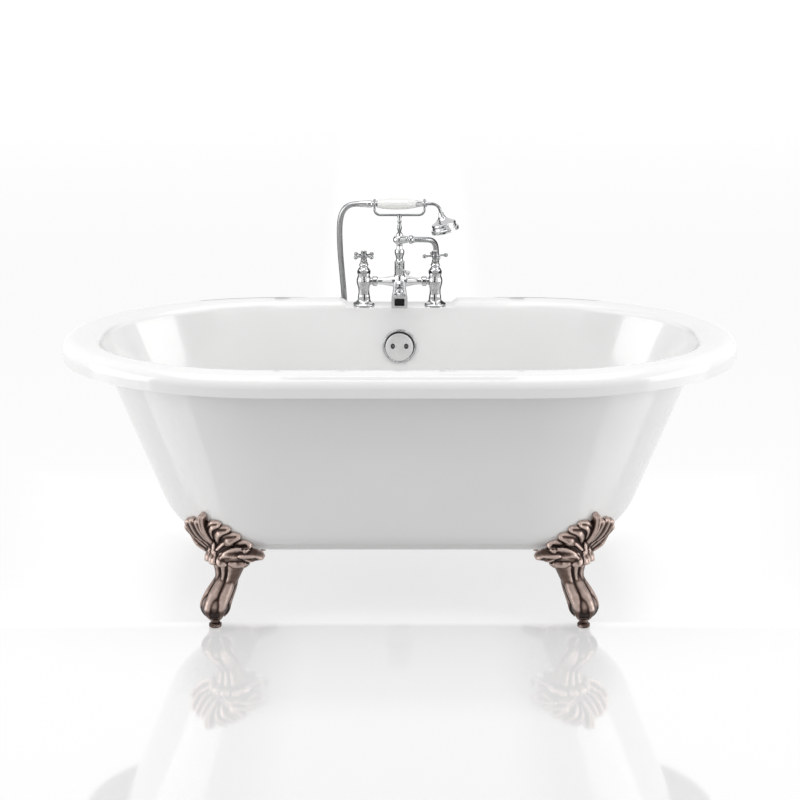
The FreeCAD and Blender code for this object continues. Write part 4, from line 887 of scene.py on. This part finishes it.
    def leg(self) -> bmesh.types.BMesh:
        """The S-shaped leg with its tendons, from the knee to the ball."""
        line = catmull(self.knee, 5)
        line = np.vstack([[(radius, *line[0, 1:]) for radius in self.top_rings], line])
        sides = 96
        angle = np.linspace(0, 2 * np.pi, sides, endpoint=False)
        bm = bmesh.new()
        for (radius, out, z), verts in zip(line, rings_of(bm, len(line), sides)):
            depth = np.clip(math.sin(math.pi * np.clip((z - 84) / 92, 0, 1)), 0, 1)
            cut = sum(np.exp(-((np.degrees(angle) - 180) - a) ** 2 / (2 * w * w)) * d
                      for a, w, d in self.tendons)
            r = radius - depth * cut
            p = self.spot(out - r * np.cos(angle), r * np.sin(angle), np.full(sides, z))
            p[:, 2] = np.minimum(p[:, 2], self.ceiling(p[:, 0], p[:, 1]) - self.under_gap)
            for vert, spot in zip(verts, p):
                vert.co = spot
        close(bm)
        return bm

    def toe(self, angle: float) -> bmesh.types.BMesh:
        """One toe that runs out of the leg, grips the ball and ends in a nail.

        Args:
            angle: Degrees from the way the foot faces.

        Returns:
            The toe.
        """
        t = math.radians(angle)
        path = [(122, 13, 12), (108, 15, 14), (94, 17.5, 15), (80, 21, 14.5), (68, 24, 13), (57, 26, 11.6),
                (48, 27, 9.8), (40, 27, 7.4), (32, 25, 5), (26, 22, 3), (21, 19, 1)]
        rows = catmull(path, 5)
        height, out = np.array([(k[2], k[1]) for k in self.knee[::-1]]).T
        middle = np.interp(rows[:, 0], height, out)
        line = self.spot(middle + rows[:, 1] * math.cos(t), rows[:, 1] * math.sin(t), rows[:, 0])
        return tube(line, rows[:, 2], 20)

    def ball(self) -> bmesh.types.BMesh:
        """The ball, flat below."""
        bm = bmesh.new()
        bmesh.ops.create_icosphere(bm, subdivisions=5, radius=self.ball_radius - 4.5)
        centre = self.spot(np.array(0.0), np.array(0.0), np.array(self.ball_height))
        bmesh.ops.translate(bm, vec=Vector(centre), verts=bm.verts)
        cut = bmesh.ops.bisect_plane(bm, geom=[*bm.verts, *bm.edges, *bm.faces], plane_co=(0, 0, 19.5),
                                     plane_no=(0, 0, -1), clear_outer=True)["geom_cut"]
        bmesh.ops.holes_fill(bm, edges=[g for g in cut if isinstance(g, bmesh.types.BMEdge)])
        return bm

    def plate(self) -> bmesh.types.BMesh:
        """The plate under the tub that the bolts go through."""
        bm = bmesh.new()
        bmesh.ops.create_cube(bm, size=1.0)
        for vert in bm.verts:
            out, side, height = (centre + c * size for c, centre, size in zip(vert.co, *self.plate_block))
            vert.co = Vector(self.spot(np.array(out), np.array(side), np.array(height)))
        bmesh.ops.recalc_face_normals(bm, faces=bm.faces)
        return bm

    def fuse(self, bm: bmesh.types.BMesh) -> bpy.types.Mesh:
        """Melts the overlapping shapes into one casting.

        Args:
            bm: The shapes in millimetres.

        Returns:
            The casting's mesh, in metres, with its relief attribute, which carries the finish's dark hollows
            and painted shade.
        """
        carrier = mesh_object("foot_carrier", bm)
        remesh = carrier.modifiers.new("fuse", "REMESH")
        remesh.mode = "VOXEL"
        remesh.voxel_size = self.voxel * MM
        graph = bpy.context.evaluated_depsgraph_get()
        mesh = bpy.data.meshes.new_from_object(carrier.evaluated_get(graph))
        bpy.data.objects.remove(carrier)
        count = len(mesh.vertices)
        places = np.empty(count * 3)
        mesh.vertices.foreach_get("co", places)
        places = places.reshape(-1, 3)
        pairs = np.empty(len(mesh.edges) * 2, int)
        mesh.edges.foreach_get("vertices", pairs)
        a, b = pairs.reshape(-1, 2).T
        links = np.bincount(np.concatenate([a, b]), minlength=count)[:, None]

        def spread(values: np.ndarray) -> np.ndarray:
            """Each vertex's mean over its neighbours."""
            both = np.concatenate([a, b]), np.concatenate([b, a])
            total = [np.bincount(both[0], weights=values[both[1], k], minlength=count)
                     for k in range(values.shape[1])]
            return np.stack(total, axis=1) / links

        for factor in self.smoothing:
            places = places + factor * (spread(places) - places)
        mesh.vertices.foreach_set("co", places.ravel())
        mesh.update()
        normals = np.empty(count * 3)
        mesh.vertices.foreach_get("normal", normals)
        normals = normals.reshape(-1, 3)
        # The relief attribute: hollows found at small and large reaches go dark, partly as the antique
        # finish's patina and partly as painted shade standing in for occlusion.
        soft = places
        relief = np.zeros(count)
        reach = dict(self.patina_and_shade_reach)
        for turn in range(1, max(reach) + 1):
            soft = soft + 0.7 * (spread(soft) - soft)
            if turn in reach:
                stand = np.sum((places - soft) * normals, axis=1) / MM
                relief += np.clip(stand / reach[turn], -1.2, 1.0)
        # Painted shade: the relief is lowered below 62 mm, so the ball's underside near the floor is darker.
        low = np.clip((0.062 - places[:, 2]) / 0.022, 0, 1)
        relief = np.clip(0.48 + 0.29 * relief - 0.45 * low * low * (3 - 2 * low), 0, 1)
        relief = 0.5 * relief + 0.5 * spread(relief[:, None])[:, 0]
        layer = mesh.attributes.new("relief", "FLOAT", "POINT")
        layer.data.foreach_set("value", relief.astype(np.float32))
        mesh.shade_smooth()
        return mesh

    def build(self) -> None:
        """Builds the front left foot, and the other three as its mirror images."""
        bm = bmesh.new()
        for shape in (self.leaf(), self.leg(), self.ball(), self.plate(), *map(self.toe, self.toes)):
            merge(bm, shape)
        bmesh.ops.recalc_face_normals(bm, faces=bm.faces)
        first = self.fuse(bm)
        for corner, side, way in CORNERS:
            mesh = first
            if (side, way) != (-1, -1):
                mesh = first.copy()
                mesh.transform(Matrix.Diagonal((-side, -way, 1, 1)))
                if side != way:
                    mesh.flip_normals()
            mesh.name = "carved_foot_" + corner
            foot = bpy.data.objects.new("carved_foot_" + corner, mesh)
            bpy.context.scene.collection.objects.link(foot)
            mount(foot, Finish.BRONZE, "antique_bronze", "tub", "claw_foot_" + corner)
        log.info("feet: %d faces each", len(first.polygons))


# ------------------------------------------------------------------ small fittings


@dataclass
class OverflowCover:
    """The overflow's ring and its disc, which sits low in the ring so that water can pass above it."""

    height: float = 536.0
    face_y: float = 292.1
    lean: float = 7.1
    ring_radius: float = 43.0
    disc_radius: float = 35.0
    drop: float = 2.4
    shift: float = 0.6
    screw_half: float = 17.0

    def place(self, side: float = 0.0, up: float = 0.0) -> Matrix:
        """Returns where a shape made along +Z goes, side and up along the wall."""
        t = math.radians(self.lean)
        inward = Vector((0, -math.cos(t), math.sin(t)))
        rise = Vector((0, math.sin(t), math.cos(t)))
        centre = Vector((0, self.face_y, self.height)) + rise * up + Vector((side, 0, 0))
        axes = Matrix((Vector((1, 0, 0)), rise, inward)).transposed().to_4x4()
        return Matrix.Translation(centre) @ axes

    def build(self) -> None:
        """Builds the ring, the disc with its two screw wells, a black disc under them as painted shade in the
        overflow's opening, and the screws.
        """
        r, d = self.ring_radius, self.disc_radius
        ring = lathe([(r, 0.3), (r, 2.6), [(r - 0.9, 5.0), (r - 2.8, 6.0), (r - 4.8, 5.2)], (r - 5.4, 3.0),
                      (r - 5.4, 0.3), (r, 0.3)], 72, 0.0)
        disc = lathe([(0, 2.4), (d, 2.4), (d, 4.2), [(d - 0.9, 5.2), (24, 6.0), (0, 6.5)]], 72, 0.0)
        wells = []
        for side in (-1, 1):
            well = lathe([(0, 1.0), (5.6, 1.0), (5.6, 9.0), (0, 9.0)], 24, 0.0)
            bmesh.ops.scale(well, vec=(1.0, 1.25, 1.0), verts=well.verts)
            spot = (side * self.screw_half + self.shift, self.drop, 0)
            bmesh.ops.translate(well, vec=spot, verts=well.verts)
            wells.append(well)
        disc = carve(disc, wells)
        bmesh.ops.transform(ring, matrix=self.place(), verts=ring.verts)
        bmesh.ops.transform(disc, matrix=self.place(-self.shift, -self.drop), verts=disc.verts)
        # The ring wears a darker chrome as painted shade and the disc a paler one as painted light.
        mount(mesh_object("overflow_ring", ring, 35.0), Finish.RING, "chrome", "tub", "overflow_plate")
        mount(mesh_object("overflow_disc", disc, 35.0), Finish.SATIN, "chrome", "tub")
        # A black disc behind the cover: painted shade in the overflow's opening.
        shade_disc = lathe([(0, 0.4), (r - 5.0, 0.4), (r - 5.0, 1.2), (0, 1.2)], 48, 0.0)
        bmesh.ops.transform(shade_disc, matrix=self.place(), verts=shade_disc.verts)
        mount(mesh_object("overflow_shade_disc", shade_disc, 35.0), Finish.RUBBER, "seal_rubber", "tub")
        heads = bmesh.new()
        for side in (-1, 1):
            head = lathe([(0, 1.4), (3.6, 1.4), (3.6, 2.8), [(2.9, 3.4), (0, 3.7)]], 24, 0.0)
            slot = bmesh.new()
            bmesh.ops.create_cube(slot, size=1.0)
            bmesh.ops.scale(slot, vec=(1.1, 9.0, 2.0), verts=slot.verts)
            bmesh.ops.translate(slot, vec=(0, 0, 3.8), verts=slot.verts)
            merge(heads, carve(head, [slot]), self.place(side * self.screw_half))
        # The dark screw heads are painted shade in their wells.
        mount(mesh_object("overflow_screw_heads", heads, 35.0), Finish.SCREW, "steel_screws", "tub",
              "overflow_screws")
        log.info("overflow cover: ring %.0f mm, disc %.1f mm across", 2 * r, 2 * d)


@dataclass
class HandShower:
    """The hand shower's head; its grip, tube, collars and face are the solids' own."""

    face: Point = (115.5, 338.0, 822.0)
    axis: Point = (-0.2504, 0.0, 0.9681)
    radius: float = 35.5
    length: float = 50.0

    def build(self) -> None:
        """Turns the bell: a thin lip, a grooved drum and a dome that draws in to the neck."""
        r = self.radius
        lip = [(0, 6.4), (r - 2.6, 6.4), (r - 1.8, 5.1), (r - 0.4, 5.5), (r, 6.4), (r, 8.2), (r - 1.2, 9.4)]
        drum = [(r - 4.6, 9.8), (r - 4.6, 14.2), (r - 5.6, 14.9), (r - 5.6, 16.1), (r - 4.6, 16.8),
                (r - 4.6, 21.4), [(r - 5.6, 23.2), (r - 8.0, 24.2)]]
        dome = [[(22.0, 27.2), (14.0, 32.6), (8.8, 38.6), (6.6, 44.0)], (6.3, self.length), (0, self.length)]
        bell = lathe([*lip, *drum, *dome], 72, 0.2)
        bmesh.ops.transform(bell, matrix=aim(self.face, self.axis), verts=bell.verts)
        mount(mesh_object("stepped_rose_bell", bell, 35.0), Finish.CHROME, "chrome", "handset", "rose_bell")
        log.info("hand shower: bell %.0f mm across", 2 * r)


@dataclass
class CradlePost:
    """The turned post between the hose outlet and the yoke that holds the hand shower."""

    axis_y: float = 338.0
    base: float = 811.6
    top: float = 857.6
    radius: float = 4.5

    def build(self) -> None:
        """Turns the post with its bead and the ring under the yoke."""
        r, z, n = self.radius, self.base, self.top
        bead = [(r + 1.0, z + 15), (r + 1.7, z + 19), (r + 1.0, z + 23), (r, z + 26)]
        ring = [(r - 0.3, n - 12.5), (r + 0.7, n - 11.5), (r + 0.7, n - 9.5), (r - 0.3, n - 8.5)]
        bm = lathe([(0, z), (r, z), (r, z + 13), bead, *ring, (r - 0.3, n), (0, n)], 40, 0.15)
        bmesh.ops.translate(bm, vec=(0, self.axis_y, 0), verts=bm.verts)
        # The post wears the darker chrome copy, as painted shade.
        mount(mesh_object("beaded_cradle_post", bm, 35.0), Finish.SHADED_CHROME, "chrome", "tub", "cradle_post")
        log.info("cradle post: %.0f mm tall", n - z)


@dataclass
class DiverterLever:
    """The diverter's short lever with its flared end."""

    pivot: Point = (0.0, 319.0, 733.5)
    drop: float = 34.0
    stem: tuple[tuple[float, float], ...] = ((0, 3.4), (5, 3.0), (12, 2.6), (17, 3.1), (22, 4.6), (26.5, 6.0),
                                             (29.0, 5.6), (30.6, 3.0))

    def build(self) -> None:
        """Builds the lever on its hub."""
        t = math.radians(self.drop)
        rows = catmull(self.stem, 5)
        line = np.array(self.pivot) + rows[:, :1] * np.array([math.cos(t), 0.0, -math.sin(t)])
        bm = tube(line, rows[:, 1], 24)
        hub = lathe([(0, -3.4), (4.6, -3.4), [(5.2, -2.6), (5.2, 3.0), (4.4, 4.4), (0, 5.6)]], 32, 0.2)
        merge(bm, hub, aim(self.pivot, (0, -1, 0)))
        lever = mesh_object("flared_diverter_lever", bm, 40.0)
        mount(lever, Finish.CHROME, "chrome", "diverter", "diverter_lever")
        log.info("diverter lever: %.0f mm long", self.stem[-1][0])


@dataclass
class FlowStraightener:
    """The dark grid inside the spout's mouth that keeps the water in one sheet."""

    width: float = 24.0
    low: float = 656.7
    high: float = 673.9
    front: float = 243.2
    depth: float = 2.6
    wall: float = 0.35
    sink: float = 1.6

    def build(self) -> None:
        """Builds a rounded block with rows of cells sunk in its front."""
        bm = bmesh.new()
        bmesh.ops.create_grid(bm, x_segments=9, y_segments=6, size=0.5)
        bmesh.ops.scale(bm, vec=(self.width, self.high - self.low, 1.0), verts=bm.verts)
        bmesh.ops.inset_individual(bm, faces=list(bm.faces), thickness=self.wall, depth=0.0)
        cells = [f for f in bm.faces if all(len(e.link_faces) == 2 for e in f.edges) and f.calc_area() > 2.0]
        pushed = bmesh.ops.extrude_discrete_faces(bm, faces=cells)["faces"]
        bmesh.ops.translate(bm, vec=(0, 0, -self.sink), verts=list({v for f in pushed for v in f.verts}))
        rim = [e for e in bm.edges if e.is_boundary]
        made = bmesh.ops.extrude_edge_only(bm, edges=rim)["geom"]
        back = [g for g in made if isinstance(g, bmesh.types.BMVert)]
        bmesh.ops.translate(bm, vec=(0, 0, -self.depth), verts=back)
        close(bm)
        turn = Matrix.Rotation(math.radians(90), 4, "X")
        place = Matrix.Translation((0.0, self.front, (self.low + self.high) / 2)) @ turn
        bmesh.ops.transform(bm, matrix=place, verts=bm.verts)
        mount(mesh_object("flow_straightener", bm, 20.0), Finish.RUBBER, "seal_rubber", "tub")
        log.info("spout: flow straightener %.0f mm wide", self.width)


@dataclass
class LevellingPads:
    """The faceted pads under the claws, which screw up and down on their studs."""

    foot_x: float = 433.0
    foot_y: float = 245.0
    facets: int = 18
    radius: float = 15.0
    stud: float = 5.0

    def build(self) -> None:
        """Builds the four pads, each on its own screw joint."""
        r = self.radius
        disc = [(0, 0), (r - 2, 0), (r, 1.8), (r, 7.6), (r - 3.6, 10.4), (r - 7, 11.5)]
        stud = [(self.stud, 11.5), (self.stud, 45.0), (self.stud - 1, 46.0), (0, 46.0)]
        for corner, side, way in CORNERS:
            bm = lathe([*disc, *stud], self.facets, 0.0)
            bmesh.ops.translate(bm, vec=(side * self.foot_x, way * self.foot_y, 0), verts=bm.verts)
            pad = mesh_object("faceted_pad_" + corner, bm, 12.0)
            mount(pad, Finish.PAD_BRONZE, "pad_bronze", "pad_" + corner, "levelling_pad_" + corner)
        log.info("pads: %d facets each", self.facets)


# ------------------------------------------------------------------ studio


@dataclass
class Studio:
    """The floor, the lights and the camera."""

    lens: float = 90.81
    eye: Point = (0.0012, -4.635, 1.888)
    pitch: float = 16.876
    ambient: float = 0.475
    floor_glow: float = 0.455
    # Glow of the floor under and behind the tub: painted light that lifts the tub's shadow there.
    under_tub_painted_light: float = 0.69
    floor_half: float = 30000.0
    floor_drop: float = 0.0004
    dull_front: tuple[float, float] = (-0.265, -0.215)
    dull_back: tuple[float, float] = (1.0, 0.25)
    dull_side: tuple[float, float] = (1.15, 0.52)
    dull_middle: Point = (0.36, 0.20, 0.35)

    def camera(self) -> None:
        """Puts the camera where the photograph was taken from."""
        data = bpy.data.cameras.new("camera")
        data.lens = self.lens
        data.sensor_width = 36.0
        camera = bpy.data.objects.new("camera", data)
        camera.location = self.eye
        camera.rotation_euler = (math.radians(90 - self.pitch), 0, 0)
        bpy.context.scene.collection.objects.link(camera)
        bpy.context.scene.camera = camera

    def floor(self) -> None:
        """A pale floor that mirrors in front of the tub and is dull under it and behind it, where a stronger
        glow is painted light that lifts the tub's shadow.
        """
        bm = bmesh.new()
        bmesh.ops.create_grid(bm, x_segments=2, y_segments=2, size=self.floor_half)
        floor = mesh_object("floor", bm)
        floor.location.z = -self.floor_drop
        s = Shader("studio_floor")
        s.set(Roughness=0.05, IOR=3.2, Emission_Color=(1, 1, 1, 1))
        s.principled.inputs["Base Color"].default_value = (0.34, 0.34, 0.34, 1)
        axes = s.object_axes()
        aside = s.calc("ABSOLUTE", axes.outputs["X"])
        under = s.span(axes.outputs["Y"], *self.dull_front)
        for value, edge in ((axes.outputs["Y"], self.dull_back), (aside, self.dull_side)):
            under = s.calc("MINIMUM", under, s.span(value, *edge))
        under = s.calc("MAXIMUM", under, s.span(aside, *self.dull_middle))
        s.link(s.ramp(under, [(0.0, (0.5,)), (1.0, (0.0,))]), s.principled.inputs["Specular IOR Level"])
        path = s.add("LightPath").outputs
        sharp = s.calc("MAXIMUM", path["Is Glossy Ray"], path["Is Transmission Ray"])
        seen = s.calc("MAXIMUM", path["Is Camera Ray"], sharp)
        # Painted light: where the floor is dull, under and behind the tub, it glows more, which lifts the
        # tub's shadow.
        glow = s.ramp(under, [(0.0, (self.floor_glow,)), (1.0, (self.under_tub_painted_light,))])
        s.link(s.calc("MULTIPLY", seen, glow), s.principled.inputs["Emission Strength"])
        dress(floor, s.material)

    def world(self) -> None:
        """White to the camera and in reflections, and a soft even light on surfaces."""
        world = bpy.data.worlds.new("studio")
        bpy.context.scene.world = world
        world.use_nodes = True
        tree = world.node_tree
        tree.nodes.clear()
        output = tree.nodes.new("ShaderNodeOutputWorld")
        seen, soft = (tree.nodes.new("ShaderNodeBackground") for _ in range(2))
        for background, strength in ((seen, 1.0), (soft, self.ambient)):
            background.inputs["Strength"].default_value = strength
            background.inputs["Color"].default_value = (1, 1, 1, 1)
        path = tree.nodes.new("ShaderNodeLightPath").outputs
        sharp, either = (tree.nodes.new("ShaderNodeMath") for _ in range(2))
        sharp.operation = either.operation = "MAXIMUM"
        mix = tree.nodes.new("ShaderNodeMixShader")
        for source, target in ((path["Is Glossy Ray"], sharp.inputs[0]),
                               (path["Is Transmission Ray"], sharp.inputs[1]),
                               (path["Is Camera Ray"], either.inputs[0]),
                               (sharp.outputs[0], either.inputs[1]),
                               (either.outputs[0], mix.inputs[0]),
                               (soft.outputs[0], mix.inputs[1]),
                               (seen.outputs[0], mix.inputs[2]),
                               (mix.outputs[0], output.inputs["Surface"])):
            tree.links.new(source, target)

    def flag(self, name: str, corner: Point, opposite: Point, grey: tuple[float, float], nearest: float,
             farthest: float) -> None:
        """A dark card that only reflections see, which draws the edges of bright metal.

        Args:
            name: Its name.
            corner: One corner.
            opposite: The corner across from it; the card is flat along X or along Y.
            grey: Its tone at its front and at its back.
            nearest: A surface nearer than this doesn't reflect it.
            farthest: A surface farther than this doesn't reflect it.
        """
        bm = bmesh.new()
        bmesh.ops.create_cube(bm, size=1.0)
        low, high = Vector(corner), Vector(opposite)
        size = [max(abs(c), 0.004) / MM for c in high - low]
        bmesh.ops.scale(bm, vec=size, verts=bm.verts)
        bmesh.ops.translate(bm, vec=(low + high) / 2 / MM, verts=bm.verts)
        card = mesh_object(name, bm)
        s = Shader(name + "_cloth")
        s.set(Roughness=1.0)
        depth = s.span(s.object_axes().outputs["Y"], min(low.y, high.y), max(low.y, high.y), ease="LINEAR")
        tone = s.ramp(depth, [(0.0, (grey[0],)), (1.0, (grey[1],))], "EASE")
        s.link(tone, s.principled.inputs["Base Color"])
        travel = s.add("LightPath").outputs["Ray Length"]
        away = s.calc("MAXIMUM", s.calc("GREATER_THAN", travel, farthest),
                      s.calc("LESS_THAN", travel, nearest))
        choice = s.add("MixShader")
        s.link(away, choice.inputs[0])
        s.link(s.principled.outputs[0], choice.inputs[1])
        s.link(s.add("BsdfTransparent").outputs[0], choice.inputs[2])
        s.link(choice.outputs[0], s.output.inputs["Surface"])
        dress(card, s.material)
        card.visible_camera = card.visible_diffuse = card.visible_shadow = card.visible_transmission = False

    def lamp(self, name: str, place: Point, target: Point, size: tuple[float, float], power: float) -> None:
        """One soft box.

        Args:
            name: Its name.
            place: Where it stands.
            target: What it points at.
            size: Its width and height.
            power: Watts.
        """
        data = bpy.data.lights.new(name, "AREA")
        data.shape = "RECTANGLE"
        data.size, data.size_y = size
        data.energy = power
        lamp = bpy.data.objects.new(name, data)
        lamp.location = place
        lamp.rotation_euler = (Vector(target) - Vector(place)).to_track_quat("-Z", "Y").to_euler()
        bpy.context.scene.collection.objects.link(lamp)

    def build(self) -> None:
        """Sets up the whole studio."""
        bpy.context.scene.view_settings.view_transform = "Standard"
        self.camera()
        self.floor()
        self.world()
        self.lamp("top_box", (0, -0.7, 3.1), (0, 0, 0.4), (4.0, 2.4), 47)
        self.lamp("left_box", (-3.6, -1.0, 1.0), (0, 0, 0.4), (2.6, 2.2), 50)
        self.lamp("right_box", (3.6, -1.0, 1.0), (0, 0, 0.4), (2.6, 2.2), 50)
        for hand, side in (("left", -1), ("right", 1)):
            self.flag(hand + "_flag", (side * 0.32, 0.42, 0.50), (side * 0.32, 1.05, 1.05), (0.10, 0.02),
                      0.0, 0.85)
            self.flag(hand + "_back_flag", (side * 0.28, 1.20, 0.46), (side * 0.60, 1.20, 0.70),
                      (0.10, 0.10), 0.0, 0.97)
        self.flag("front_flag", (-0.14, -0.24, 0.60), (0.14, -0.24, 0.78), (0.04, 0.04), 0.45, 0.8)
        self.flag("rose_flag", (0.09, 0.02, 1.20), (0.30, 0.26, 1.20), (0.05, 0.05), 0.2, 0.7)
        self.flag("camera_flag", (-0.26, -0.78, 0.92), (0.26, -0.78, 1.34), (0.03, 0.03), 0.95, 1.35)
        self.flag("high_flag", (-0.30, -0.62, 1.34), (0.30, -0.22, 1.34), (0.05, 0.05), 0.6, 1.15)
        log.info("studio ready")


# ------------------------------------------------------------------ the bathtub


@dataclass
class CarriedPieces:
    """The turned, cast and moulded solids that are shown as they are, each in its own finish."""

    nodes: dict[str, bpy.types.Object]
    record: dict

    def build(self) -> None:
        """Dresses every solid by its material slot, with a few pieces in finishes of their own."""
        slots = {row["node"]: row["material_slot"] for row in self.record["subparts"]}
        thin = ("handset_tube", "cradle_yoke", "cradle_post", "hot_cross_head", "cold_cross_head")
        # The bridge and spout take the lighter chrome copy (painted light), the thin pieces the darker copy
        # (painted shade), and the lock nuts the pads' bronze.
        own = {"levelling_lock_nuts": Finish.PAD_BRONZE, "bridge_and_spout": Finish.LIT_CHROME,
               **dict.fromkeys(thin, Finish.SHADED_CHROME)}
        for name, node in self.nodes.items():
            dress(node, own.get(name, SLOT_FINISH[slots[name]]).material())
        log.info("carried pieces: %d dressed", len(self.nodes))


def main() -> None:
    """Builds the scene in order."""
    logging.basicConfig(level=logging.INFO, format="%(name)s: %(message)s")
    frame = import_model()
    Studio().build()
    Hose().build()
    CarriedPieces(frame["nodes"], frame["record"]).build()
    ClawFoot().build()
    LevellingPads().build()
    OverflowCover().build()
    HandShower().build()
    CradlePost().build()
    DiverterLever().build()
    FlowStraightener().build()


if __name__ == "__main__":
    main()
